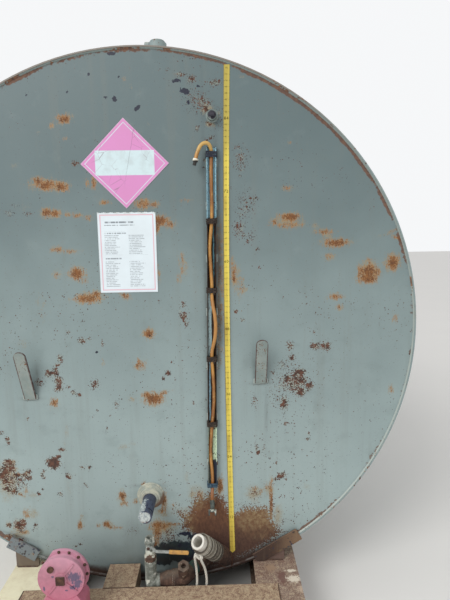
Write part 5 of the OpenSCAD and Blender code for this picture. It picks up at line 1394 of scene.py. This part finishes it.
STAIN_SPOTS = [
    (288, 962, 30, 24, .8), (300, 905, 26, 22, .7), (335, 940, 16, 24, .5), (-430, 875, 16, 10, .5),
    (-545, 738, 35, 15, .5), (-400, 655, 70, 26, .7), (5, 572, 34, 26, .6), (65, 435, 20, 14, .5),
    (35, 905, 14, 10, .45), (-390, 270, 26, 24, .6), (-245, 165, 62, 26, .8), (5, -5, 32, 30, .6),
    (-85, -310, 30, 22, .5), (635, 492, 60, 30, .8), (757, 458, 26, 24, .5), (807, 420, 30, 24, .55),
    (1000, 262, 46, 48, .9), (1105, 298, 34, 38, .8), (822, 328, 30, 18, .6), (855, -365, 12, 12, .4),
    (440, 1095, 40, 12, .4), (-390, -460, 14, 44, .5), (-405, -520, 12, 28, .5), (-400, -740, 20, 40, .4),
    (-575, -862, 34, 30, .7), (-560, -770, 26, 14, .6), (-650, -965, 56, 36, .7), (-130, -540, 30, 15, .6),
    (-90, -525, 20, 12, .5), (-100, -590, 16, 22, .4), (-5, -580, 12, 12, .4), (-148, -805, 34, 44, .6),
    (175, 290, 26, 60, .5), (60, 275, 16, 34, .5), (400, 240, 34, 80, .6), (35, -950, 66, 40, .9),
    (30, -880, 60, 30, .6), (160, -700, 16, 50, .5), (185, -780, 26, 44, .7), (150, -640, 16, 30, .4),
    (215, -770, 26, 40, .6), (475, -790, 40, 46, .8), (550, -770, 30, 40, .7), (590, -900, 26, 70, .7),
    (725, -760, 26, 22, .5), (100, -850, 60, 40, .5), (-680, -700, 60, 110, .7), (-600, -760, 60, 24, .5),
    (-345, -905, 20, 44, .5), (-215, -935, 60, 22, .5), (640, -250, 90, 70, .35), (-560, -40, 30, 30, .5),
    (620, -20, 20, 20, .2), (140, -870, 40, 30, .6), (300, -760, 30, 30, .5), (-520, 560, 60, 26, .35),
    (530, -1000, 90, 40, .5), (480, -480, 20, 60, .3), (15, -580, 20, 40, .3),
]
# Dark lines on the end wall: partly grime, and partly painted shadow beside the strip's right edge and the gauge,
# along and under the hook lugs and along the wall's foot.
GRIME_AND_SHADOW_LINES = [
    (322, 640, 7, 150, .6), (328, 330, 13, 160, .8), (324, 60, 12, 140, .75), (319, -100, 10, 60, .65),
    (375, 500, 3, 260, .4), (372, 0, 3, 420, .4), (374, -600, 3, 420, .4), (538, -150, 4, 44, .5),
    (537, -400, 5, 90, .3), (480, -150, 3, 50, .3), (-508, -200, 4, 46, .4), (-572, -170, 4, 44, .3),
    (-540, -297, 34, 7, .7), (-650, -975, 60, 4, .55, -20), (-600, -1022, 50, 4, .55, -26),
    (268, 100, 5, 640, .35), (262, -480, 5, 240, .35), (40, -1060, 70, 30, .5), (60, -1120, 160, 24, .6),
    (-20, -735, 60, 6, .4), (-400, -1150, 200, 12, .5), (512, -247, 34, 5, .6),
]
FADED_SPOTS = [
    (500, -915, 90, 62, 1.0), (430, -930, 40, 60, .8), (560, -940, 50, 50, .8), (155, -905, 50, 40, .9),
    (205, -830, 40, 40, .9), (240, -805, 50, 24, .9), (520, -1010, 80, 36, .55), (330, -840, 30, 30, .4),
    (170, -960, 34, 26, .8),
]
# Outline of the large bare area at the lower right
OXIDE_OUTLINE = [
    (102, -862), (128, -872), (150, -886), (166, -868), (176, -846), (192, -812), (212, -800), (238, -806),
    (262, -780), (296, -786), (330, -806), (350, -852), (372, -886), (400, -882), (430, -862), (470, -860),
    (530, -862), (556, -882), (562, -930), (590, -960), (598, -1000), (560, -1036), (470, -1090), (420, -1115),
    (330, -1150), (230, -1165), (150, -1168), (168, -1060), (176, -992), (150, -968), (126, -950), (140, -920),
    (122, -892),
]
# Rust in the crevice inside the rim, as (middle and half length in degrees, strength)
CREVICE_ARCS = [
    (113.5, 4.5, 1.0), (104, 6, .62), (92, 9, .66), (78, 10, .7), (66, 5, .9), (58, 6, 1.1), (50, 5, 1.05),
    (44, 5, 1.05), (37.4, 5.0, 1.1), (28, 4, 1.0), (18, 4.5, .8), (130, 9, .55), (150, 8, .5), (5, 5, .5),
    (-12, 8, .45), (-30, 6, .5), (-52, 10, .7), (-128, 12, .7), (-145, 6, .8), (170, 8, .45),
]
LEAST_SPOT, HALF_FALL = 6, -0.69


def spots_field(x, z, spots, grow=1.0):
    """Strength of soft spots at places of the end wall, all in millimetres."""
    field = np.zeros_like(x)
    for px, pz, half_w, half_h, strength, *turn in spots:
        a = math.radians(turn[0]) if turn else 0.0
        u = (x - px) * math.cos(a) + (z - pz) * math.sin(a)
        w = (z - pz) * math.cos(a) - (x - px) * math.sin(a)
        reach_w, reach_h = grow * max(half_w, LEAST_SPOT), grow * max(half_h, LEAST_SPOT)
        field = np.maximum(field, strength * np.exp(HALF_FALL * ((u / reach_w) ** 2 + (w / reach_h) ** 2)))
    return field


def outline_field(x, z, outline, soft=72.0):
    """0.5 on an outline, rising inside it and falling outside, over soft millimetres."""
    inside = np.zeros(x.shape, bool)
    nearest = np.full(x.shape, 1e9)
    for (ax, az), (bx, bz) in zip(outline, outline[1:] + outline[:1]):
        inside ^= ((az > z) != (bz > z)) & (x < (bx - ax) * (z - az) / (bz - az + SMALL) + ax)
        t = np.clip(((x - ax) * (bx - ax) + (z - az) * (bz - az)) / ((bx - ax) ** 2 + (bz - az) ** 2), 0, 1)
        nearest = np.minimum(nearest, np.hypot(x - ax - t * (bx - ax), z - az - t * (bz - az)))
    return np.clip(0.5 + np.where(inside, nearest, -nearest) / soft, 0.0, 1.3)


def crevice_field(x, z):
    """Strength of the rust inside the rim, by the angle round the wall."""
    angle = np.degrees(np.arctan2(z, x))
    field = np.zeros_like(x)
    for middle, half, strength in CREVICE_ARCS:
        off = (angle - middle + 180) % 360 - 180
        field = np.maximum(field, strength * np.exp(HALF_FALL * (off / half) ** 2))
    return field


class TANK_OT_make_end_wall(Operator):
    """Front end wall with its dents, placed rust and chips, and the welds round both end walls"""
    bl_idname = "tank.make_end_wall"
    bl_label = "Make the end wall"

    def execute(self, context):
        given = context.scene.tank_sizes
        self.wall(given.wall_steps, given.wall_sway)
        self.rims()
        return {"FINISHED"}

    def wall(self, steps, sway):
        """A round grid with soft dents in front, closed by a flat back."""
        line = np.linspace(-1.0, 1.0, steps + 1)
        u, v = np.meshgrid(line, line)
        x = WALL_R * u * np.sqrt(1 - v ** 2 / 2)
        z = WALL_R * v * np.sqrt(1 - u ** 2 / 2)
        edge = np.clip((WALL_R - np.hypot(x, z)) / 0.25, 0, 1)
        waves = (np.sin(3.1 * x + 1.0) * np.cos(2.6 * z) + 0.5 * np.sin(6.3 * x - 2.0 * z + 0.7)
                 + 0.3 * np.cos(9.0 * z + 4.0 * x))
        depth = sway * edge * (waves + 1.8) / 3.6
        front = np.stack([x, FACE_Y + depth, z + AXIS_Z], -1).reshape(-1, 3)
        faces, border = grid_faces(steps)
        back = front[border]
        back[:, 1] = WALL_HIGH.y
        start, ring = len(front), len(border)
        for k in range(ring):
            m = (k + 1) % ring
            faces += [(border[k], start + k, start + m, border[m]), (start + k, start + ring, start + m)]
        points = np.vstack([front, back, [[0, WALL_HIGH.y, AXIS_Z]]])
        shape = Shape()
        shape.add(points, faces)
        x, z = points[:, 0] / MM, (points[:, 2] - AXIS_Z) / MM
        marks = {"rust": (RUST_SPOTS, 1.3), "speck": (SPECK_SPOTS, 1.15), "older": (OLDER_SPOTS,),
                 "stain": (STAIN_SPOTS,), "grime_and_shadow": (GRIME_AND_SHADOW_LINES,), "faded": (FADED_SPOTS,)}
        shape.values = {label: spots_field(x, z, *given) for label, given in marks.items()}
        shape.values.update(oxide=outline_field(x, z, OXIDE_OUTLINE), crevice=crevice_field(x, z))
        shape.finish("end_wall", "wall_paint", smooth=60, replaces=["front_head"])

    def rims(self):
        """Slightly uneven fillet welds round both end walls."""
        shape = Shape()
        turns = circle(1440)
        for y, out in ((FACE_Y, -1), (REAR_Y, 1)):
            points = []
            for k, (c, s) in enumerate(turns):
                leg = 0.0056 + 0.0005 * math.sin(k * 2.09) + 0.0003 * math.sin(k * 0.31)
                for inward, proud in ((0.0, 0.0003), (0.0, leg), (leg * 0.42, leg * 0.72),
                                      (leg * 0.8, leg * 0.42), (leg, 0.0003)):
                    r = WALL_R + 0.0001 - inward
                    points.append((r * c, y + out * proud, AXIS_Z + r * s))
            shape.add(points, [face[::out] for face in band_faces(len(turns), 5, True)])
        shape.finish("rim_beads", "weld_paint", smooth=50, replaces=["rim_welds"])


class TANK_OT_dress_shell(Operator):
    """Paint on the shell and its welds, and the run of its long seams"""
    bl_idname = "tank.dress_shell"
    bl_label = "Dress the shell"

    def execute(self, context):
        dress(["shell_paint"], ("manway_cover", "lifting_lugs"))
        shape = Shape()
        for course, angle in (("front", 66.0), ("middle", 118.0), ("rear", 70.0)):
            low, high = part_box(f"shell_{course}_course")
            a, r = math.radians(angle), SHELL_R - 0.0006
            path = [(r * math.cos(a), y, AXIS_Z + r * math.sin(a))
                    for y in np.arange(low.y + 0.012, high.y - 0.012, 0.004)]
            shape.bead(path, 0.0032, ripple=0.012)
        shape.finish("long_seams", "weld_paint", smooth=60)
        return {"FINISHED"}


class TANK_OT_dress_skid(Operator):
    """Paint, rust and weld beads of the skid"""
    bl_idname = "tank.dress_skid"
    bl_label = "Dress the skid"

    def execute(self, context):
        dress(["skid_red", "skid_tan", "skid_pale", "bar_paint", "wedge_rust"], ("saddle_bars", "saddle_wedges"))
        bead, step = context.scene.tank_sizes.bead, 0.0025
        shape = Shape()
        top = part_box("front_cross_beam")[1].z - MM
        for beam in ("front_cross_beam", "rear_cross_beam"):
            low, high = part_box(beam)
            for x in (low.x - 0.0015, high.x + 0.0015):
                shape.bead([(x, y, top) for y in np.arange(low.y + 0.004, high.y - 0.003, step)], bead * 0.8)
        low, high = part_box("stub_channel")
        shape.bead([(x, low.y - MM, high.z - MM) for x in np.arange(low.x + 0.004, high.x - 0.003, step)],
                   bead * 0.7)
        low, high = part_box("saddle_wedges")
        for side, y in ((-1, low.y - MM), (1, low.y - MM), (-1, high.y + MM), (1, high.y + MM)):
            inner, length = (0.559, 0.1) if side * y > 0 else (0.469, 0.146)
            deck = AXIS_Z + DECK_Z * MM + MM
            shape.bead([(side * x, y, deck) for x in np.arange(inner + 0.004, inner + length, step)], bead)
        shape.finish("skid_beads", "bolt_iron", smooth=60, slot="red_oxide")
        return {"FINISHED"}


class TANK_OT_dress_pump(Operator):
    """Pink paint of the pump, with its bolts"""
    bl_idname = "tank.dress_pump"
    bl_label = "Dress the pump"

    def execute(self, context):
        dress(["pump_pink"], ("pump_body", "pump_cover", "pump_foot"))
        dress(["bolt_iron"], ("pump_plugs",))
        shape = Shape()
        ring, flange_y = 96.5, PUMP_FACE + 32.0
        for a in map(math.radians, (98, 73, 48, 23, -2, 148, 178)):
            origin = at_wall(PUMP.x + ring * math.cos(a), flange_y, PUMP.y + ring * math.sin(a))
            shape.bolt(origin, (0, -1, 0), 0.0085, a, 0.003)
        for side in (-1, 1):
            for depth in (-316.0, -272.0):
                origin = at_wall(PUMP.x + side * 93.0, depth, DECK_Z + 14.3)
                shape.bolt(origin, (0, 0, 1), 0.009, 0.3 * side, 0.006)
        shape.finish("pump_bolts", "bolt_iron", slot="rusty_iron")
        return {"FINISHED"}


class TANK_OT_dress_nozzle(Operator):
    """Cream rings and navy pipe of the upper nozzle"""
    bl_idname = "tank.dress_nozzle"
    bl_label = "Dress the upper nozzle"

    def execute(self, context):
        dress(["cream_paint", "nozzle_navy"], ("nozzle_collar", "nozzle_pipe"))
        bead = context.scene.tank_sizes.bead
        shape = Shape()
        for depth, radius, count, size in ((-1.0, 0.0605, 150, bead), (-12.5, 0.0505, 130, bead * 0.8)):
            shape.bead(ring_path(at_wall(NOZZLE.x, depth, NOZZLE.y), (0, -1, 0), radius, count), size, True)
        shape.finish("nozzle_beads", "cream_paint", slot="pale_paint", smooth=60)
        return {"FINISHED"}


class TANK_OT_dress_outlet(Operator):
    """Finishes and small parts of the outlet, the spout and the branch"""
    bl_idname = "tank.dress_outlet"
    bl_label = "Dress the outlet and spout"

    def execute(self, context):
        dress(["spout_paint", "green_paint", "rusty_iron", "bell_iron", "reducer_iron"],
              ("side_tee", "bell_reducer", "valve_reducer"))
        bead = context.scene.tank_sizes.bead
        run = (TEE - OUTLET).normalized()
        shape = Shape()
        shape.bead(slanted_ring(SPOUT_FOOT, SPOUT_DIR, 39.0, 90), bead, True)
        shape.bead(slanted_ring(OUTLET, run, 35.5, 90), bead, True)
        shape.finish("outlet_beads", "bolt_iron", slot="rusty_iron", smooth=60)
        lip = Shape()
        centre = SPOUT_FOOT + SPOUT_DIR * (SPOUT_L - 1.2)
        lip.lathe(placed(at_wall(*centre), SPOUT_DIR), round_rim(0.0272, 0.00462, 0.00374, 14, -0.0008), 72, True)
        lip.finish("spout_lip", "spout_paint", slot="pale_paint", smooth=80)
        threads = Shape()
        for k in range(5):
            centre = OUTLET + run * (57.5 + 2.2 * k)
            threads.lathe(placed(at_wall(*centre), run), round_rim(0.0312, 0.0007, 0.0008, 6), 40, True)
        threads.finish("pipe_threads", "bolt_iron", slot="rusty_iron", smooth=60)
        return {"FINISHED"}


class TANK_OT_dress_valve(Operator):
    """Finishes of the elbow, the valve and its lever, with the lever's soft grip"""
    bl_idname = "tank.dress_valve"
    bl_label = "Dress the valve"

    def execute(self, context):
        dress(["zinc", "lever_zinc"], ("valve_lever",))
        pivot = Vector(frame["joints"][0]["pos_m"])
        self.grip(pivot)
        nut = Shape()
        nut.bolt(pivot - Vector((0, 0.002, 0)), (0, -1, 0), 0.013, 0.4)
        nut.finish("lever_nut", "bolt_iron", "valve_lever", "zinc_iron")
        threads = Shape()
        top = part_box("valve_body")[1].z
        for k in range(6):
            centre = Vector((VALVE.x * MM, FACE_Y + VALVE.y * MM, top - 0.003 - 0.0024 * k))
            threads.lathe(placed(centre), round_rim(0.0129, 0.0008, 0.0009, 6), 40, True)
        threads.finish("port_threads", "zinc", slot="zinc_iron", smooth=60)
        return {"FINISHED"}

    def grip(self, pivot):
        """Rounded sleeve with shallow ribs, over the lever's end."""
        low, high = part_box("lever_grip")
        turn = Matrix.Rotation(math.radians(4.5), 3, "Y")
        sections, sides, start, length, power = 46, 28, 0.093, 0.087, 0.45
        points = []
        for i in range(sections):
            t = i / (sections - 1)
            swell = min(1.0, math.sqrt(max(0.0, 1 - max(0.0, (t - 0.93) / 0.07) ** 2)) * 0.98 + 0.02)
            swell *= min(1.0, 0.9 + t * 3)
            rib = 1.0 - 0.035 * (0.5 + 0.5 * math.cos(t * math.pi * 22)) * (0.1 < t < 0.9)
            half_w, half_t = 0.0086 * swell * rib, 0.0044 * (0.35 + 0.65 * swell) * rib
            for c, s in circle(sides):
                w = half_w * math.copysign(abs(s) ** power, s)
                d = half_t * math.copysign(abs(c) ** power, c)
                points.append(pivot + turn @ Vector((start + length * t, 0.0, w)) + Vector((0, d, 0)))
        off = Vector((0, (low.y + high.y) / 2 - sum(p.y for p in points) / len(points), 0))
        shape = Shape()
        shape.add([p + off for p in points], band_faces(sections, sides))
        shape.finish("grip_sleeve", "grip_vinyl", "valve_lever", "grip_vinyl", 60, ["lever_grip"])


class TANK_OT_make_gauge(Operator):
    """Sight hose in its channel, with its ties, its clamp and the cock"""
    bl_idname = "tank.make_gauge"
    bl_label = "Make the sight gauge"

    def execute(self, context):
        dress(["channel_blue", "pale_plastic", "cock_zinc"], ("hose_tip",))
        hose = Shape()
        hose.tube(smooth_path([at_wall(*p) for p in HOSE_ROUTE], 8), HOSE_R * MM, 16)
        hose.finish("hose_tube", "clear_hose", slot="clear_hose", smooth=60, replaces=["sight_hose"])
        tape = Shape()
        self.band(tape, TIE_HEIGHTS[0], 25.0, 0.5, 6)
        tape.finish("tape_wrap", "black_tape", slot="black_tape", smooth=60)
        wraps = Shape()
        for z in TIE_HEIGHTS[1:-1]:
            self.band(wraps, z, 23.0, 0.6, 6)
            twist = [at_wall(gauge_x(z) + 9 + 2 * math.cos(t * 2.5), -GAUGE_D - 3.0 - 0.4 * t, z - 6 - 2.2 * t)
                     for t in np.linspace(0, 7, 40)]
            wraps.tube(twist, 0.0016, 7)
        wraps.finish("wire_wraps", "old_wire", slot="black_tape", smooth=60, replaces=["hose_ties"])
        clamp, z = Shape(), TIE_HEIGHTS[-1]
        self.band(clamp, z, 20.0, 0.5, 5)
        clamp.bolt(at_wall(gauge_x(z) - 8, -GAUGE_D - 2.4, z), (0, -1, 0), 0.009, 0.2, 0.004)
        clamp.finish("hose_clamp", "blue_clamp", slot="blue_paint", smooth=50)
        return {"FINISHED"}

    def band(self, shape, z, height, proud, turns):
        """A band of wound turns round the channel at one height, each a little uneven."""
        half_w, depth, corner = GAUGE_W / 2 + 0.6, GAUGE_D + 0.6, 3.0
        wire = height / turns / 2
        r = corner + wire * proud
        route = [(-half_w - wire, -0.3)]
        for side, start in ((-1, math.pi), (1, 1.5 * math.pi)):
            route += [(side * (half_w - corner) + r * math.cos(a), corner - depth + r * math.sin(a))
                      for a in np.linspace(start, start + math.pi / 2, 6)]
        route.append((half_w + wire, -0.3))
        for k in range(turns):
            h = z - height / 2 + wire * (2 * k + 1)
            tilt = 1.5 * math.sin(k * 2.3 + z)
            path = smooth_path([at_wall(gauge_x(h) + x, y, h + tilt * x / half_w) for x, y in route], 4)
            lumps = 1.0 + 0.13 * np.sin(np.arange(len(path)) * 0.7 + k * 1.9 + z)
            shape.tube(path, wire * 1.04 * MM * lumps, 8)


class TANK_OT_make_signs(Operator):
    """Placard, notice sheet and the marks and numbers of the scale strip"""
    bl_idname = "tank.make_signs"
    bl_label = "Make the signs"

    def execute(self, context):
        dress(["strip_yellow"])
        half = PLACARD_W / 2
        self.sheet("placard_plate", "placard_sheet", PLACARD, math.radians(45), half, half, "pink_sheet",
                   "placard", 0.0)
        self.sheet("notice_plate", "notice_print", NOTICE, 0.0, NOTICE_W / 2, NOTICE_H / 2, "white_sheet",
                   "notice_sheet", 5.0)
        low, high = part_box("scale_strip")
        foot, room = (low.z - AXIS_Z) / MM + STRIP_MARGIN, (high.z - low.z) / MM - 2 * STRIP_MARGIN
        self.marks(foot, room, (low.y - FACE_Y) / MM)
        self.numbers(foot, room, (low.y - FACE_Y) / MM)
        return {"FINISHED"}

    def sheet(self, name, material, centre, turn, half_w, half_h, slot, node, tear):
        """A thin stuck-on sheet, a little curled at its edges and torn along its top."""
        steps = 60
        line = np.linspace(-1, 1, steps + 1)
        u, v = [values.ravel() for values in np.meshgrid(line * half_w, line * half_h)]
        if tear:
            near = np.clip((v / half_h - 0.9) / 0.1, 0, 1)
            v = v - near * tear * (0.35 + 0.35 * np.sin(u * 0.21) + 0.3 * np.sin(u * 0.67 + 1.0)) * 0.8
        out = np.maximum(np.abs(u) / half_w, np.abs(v) / half_h)
        curl = 0.25 * np.sin(u * 0.045 + 0.6) * np.sin(v * 0.038) + 0.45 * np.clip((out - 0.9) / 0.1, 0, 1)
        c, s = math.cos(turn), math.sin(turn)
        points = [at_wall(centre.x + a * c - b * s, y, centre.y + a * s + b * c)
                  for depth in (-1.35 - 0.3 * curl, np.full_like(u, -0.1)) for a, b, y in zip(u, v, depth)]
        faces, border = grid_faces(steps)
        size = len(u)
        faces += [[p + size for p in reversed(face)] for face in faces]
        faces += [(a, a + size, b + size, b) for a, b in zip(border, border[1:] + border[:1])]
        shape = Shape()
        shape.add(points, faces)
        shape.values = {"sheet_u": np.tile(u, 2), "sheet_v": np.tile(v, 2)}
        shape.finish(name, material, slot=slot, smooth=50, replaces=[node])

    def box(self, shape, x0, x1, z0, z1, y0, y1):
        points = [at_wall(x, y, z) for y in (y0, y1) for z in (z0, z1) for x in (x0, x1)]
        shape.add(points, [(0, 2, 3, 1), (4, 5, 7, 6), (0, 1, 5, 4), (2, 6, 7, 3), (0, 4, 6, 2), (1, 3, 7, 5)])

    def marks(self, foot, room, face):
        """Quarter-inch marks at the strip's left side, longer at each inch, which has one at the right too."""
        shape = Shape()
        for k in range(1, int(room / (INCH / 4))):
            z = foot + k * INCH / 4
            whole = k % 4 == 0
            half, middle, edge = 0.7 if whole else 0.4, strip_middle(z), STRIP_W / 2
            spans = [(0.4 - edge, 6.0 - edge), (edge - 3.0, edge - 0.4)] if whole else [(0.4 - edge, 3.4 - edge)]
            for left, right in spans:
                self.box(shape, middle + left, middle + right, z - half, z + half, face - 0.12, face + 0.2)
        shape.finish("strip_marks", "black_print", slot="yellow_strip")

    def digit(self, symbol):
        """Points and faces of one plain number of unit height."""
        text = bpy.data.curves.new("digit_" + symbol, "FONT")
        text.body, text.size, text.resolution_u, text.extrude = symbol, 1.0, 2, 0.01
        holder = bpy.data.objects.new("digit_" + symbol, text)
        bpy.context.scene.collection.objects.link(holder)
        mesh = holder.to_mesh()
        points, faces = [tuple(v.co) for v in mesh.vertices], [tuple(p.vertices) for p in mesh.polygons]
        holder.to_mesh_clear()
        bpy.data.objects.remove(holder)
        bpy.data.curves.remove(text)
        return points, faces

    def numbers(self, foot, room, face):
        """Plain numbers up the strip, larger at every twelfth mark."""
        shape = Shape()
        digits = {symbol: self.digit(symbol) for symbol in "0123456789"}
        for k in range(1, int(room / INCH) + 1):
            z = foot + k * INCH
            size, shift = (18.0, 0.5) if (k + FIRST_INCH) % 12 == 0 else (8.5, 0.0)
            label, pitch = str(k + FIRST_INCH), 0.56 * size
            x = strip_middle(z) + shift - pitch * len(label) / 2
            for symbol in label:
                points, faces = digits[symbol]
                shape.add([at_wall(x + a * size, face - 0.04 - abs(c) * 3, z + (b - 0.34) * size)
                           for a, b, c in points], faces)
                x += pitch
        shape.finish("strip_numbers", "black_print", slot="yellow_strip")


class TANK_OT_dress_wall_fittings(Operator):
    """Hook lugs, upper plug and the small weld beads on the end wall"""
    bl_idname = "tank.dress_wall_fittings"
    bl_label = "Dress the wall fittings"

    def execute(self, context):
        dress(["lug_paint", "plug_iron"], ("hook_lugs", "upper_plug"))
        bead = context.scene.tank_sizes.bead
        shape = Shape()
        half = LUG_W / 2 + 2
        left = [(-half, -5, 18), (-half, -2, 4), (4 - half, -1.4, -2)]
        under = left + [(-x, y, z) for x, y, z in reversed(left)]
        for lug_x, lug_z in LUGS:
            path = smooth_path([at_wall(lug_x + x, y, lug_z + z) for x, y, z in under], 12)
            shape.bead(path, bead * 1.2)
        shape.bead(ring_path(at_wall(UPPER_PLUG.x, -1.0, UPPER_PLUG.y), (0, -1, 0), 0.0235, 60), bead, True)
        for z in (740, 560, 330, 90, -160, -400, -620):
            for side in (-1, 1):
                x = gauge_x(z) + side * (GAUGE_W / 2 + 1.4)
                shape.bead([at_wall(x, -1.2, z + t) for t in np.arange(-18, 18, 2.5)], bead * 0.85)
        shape.finish("fitting_beads", "weld_paint", smooth=60)
        return {"FINISHED"}


class TANK_OT_dress_top(Operator):
    """Bolts, grips and weld beads of the fittings on top"""
    bl_idname = "tank.dress_top"
    bl_label = "Dress the top fittings"

    def execute(self, context):
        low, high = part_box("manway_cover")
        self.manway(high.z, (high.x - low.x) / 2 - 0.036, context.scene.tank_sizes.manway_bolts)
        beads = Shape()
        beads.bead(saddle_ring(0.256, 0.0, 480), 0.006, True, 0.009)
        for node, radius in (("vent", 0.0455), ("fill_pipe", 0.0705)):
            low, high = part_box(node)
            beads.bead(saddle_ring(radius, (low.y + high.y) / 2, 150), 0.005, True, 0.008)
        low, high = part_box("lifting_lugs")
        for y in (low.y + 0.08, high.y - 0.08):
            for x in (-0.0115, 0.0115):
                path = [(x, y + t, AXIS_Z + SHELL_R) for t in np.arange(-0.079, 0.079, 0.003)]
                beads.bead(path, 0.006, ripple=0.009)
        beads.finish("top_beads", "weld_paint", smooth=60)
        self.vent_screen()
        return {"FINISHED"}

    def manway(self, top, radius, count):
        """Bolts with their nuts round the cover, and its two grips."""
        bolts = Shape()
        for k in range(count):
            a = 2 * math.pi * (k + 0.5) / count
            x, y = radius * math.cos(a), radius * math.sin(a)
            bolts.bolt(Vector((x, y, top)), (0, 0, 1), 0.024, a, 0.012)
            bolts.bolt(Vector((x, y, top - 0.0323)), (0, 0, -1), 0.024, a + 0.3, 0.006)
        bolts.finish("manway_bolts", "bolt_iron", slot="rusty_iron")
        grips = Shape()
        half = [(-0.055, -0.002), (-0.055, 0.03), (-0.042, 0.046)]
        bow = half + [(0.0, 0.05)] + [(-y, z) for y, z in reversed(half)]
        for x in (-0.09, 0.09):
            grips.tube(smooth_path([(x, y, top + z) for y, z in bow], 6), 0.0065, 12)
        grips.finish("manway_grips", "shell_paint")

    def vent_screen(self):
        """Wire screen under the vent's hood."""
        low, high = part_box("vent")
        y, z = (low.y + high.y) / 2, high.z - 0.056
        shape = Shape()
        for c, s in circle(28):
            shape.tube([(0.031 * c, y + 0.031 * s, z - 0.012), (0.050 * c, y + 0.050 * s, z + 0.0005)], 0.0008, 5)
        for r, dz in ((0.036, -0.009), (0.043, -0.0045), (0.049, -0.0005)):
            shape.tube(ring_path((0, y, z + dz), (0, 0, 1), r, 60), 0.0008, 5, closed=True)
        shape.finish("vent_screen", "zinc", slot="zinc_iron", smooth=60)


STEPS = (TANK_OT_set_stage, TANK_OT_wind_rope, TANK_OT_make_end_wall, TANK_OT_dress_shell, TANK_OT_dress_skid,
         TANK_OT_dress_pump, TANK_OT_dress_nozzle, TANK_OT_dress_outlet, TANK_OT_dress_valve, TANK_OT_make_gauge,
         TANK_OT_make_signs, TANK_OT_dress_wall_fittings, TANK_OT_dress_top)
SETTINGS = (("tank_paint", TankPaintSettings), ("fittings", FittingSettings), ("skid", SkidSettings),
            ("tank_sizes", TankSizeSettings), ("stage", StageSettings))


class TANK_PT_steps(Panel):
    """Lists the steps and the settings"""
    bl_idname = "TANK_PT_steps"
    bl_label = "Storage tank"
    bl_space_type = "VIEW_3D"
    bl_region_type = "UI"
    bl_category = "Tank"

    def draw(self, context):
        for step in STEPS:
            self.layout.operator(step.bl_idname)
        for name, kind in SETTINGS:
            box = self.layout.box()
            for prop in kind.__annotations__:
                box.prop(getattr(context.scene, name), prop)


def register():
    for name, kind in SETTINGS:
        bpy.utils.register_class(kind)
        setattr(bpy.types.Scene, name, PointerProperty(type=kind))
    for step in STEPS:
        bpy.utils.register_class(step)
    bpy.utils.register_class(TANK_PT_steps)


def unregister():
    bpy.utils.unregister_class(TANK_PT_steps)
    for step in reversed(STEPS):
        bpy.utils.unregister_class(step)
    for name, kind in reversed(SETTINGS):
        delattr(bpy.types.Scene, name)
        bpy.utils.unregister_class(kind)


def main():
    register()
    for step in STEPS:
        family, name = step.bl_idname.split(".")
        getattr(getattr(bpy.ops, family), name)()
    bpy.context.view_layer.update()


if __name__ == "__main__":
    main()
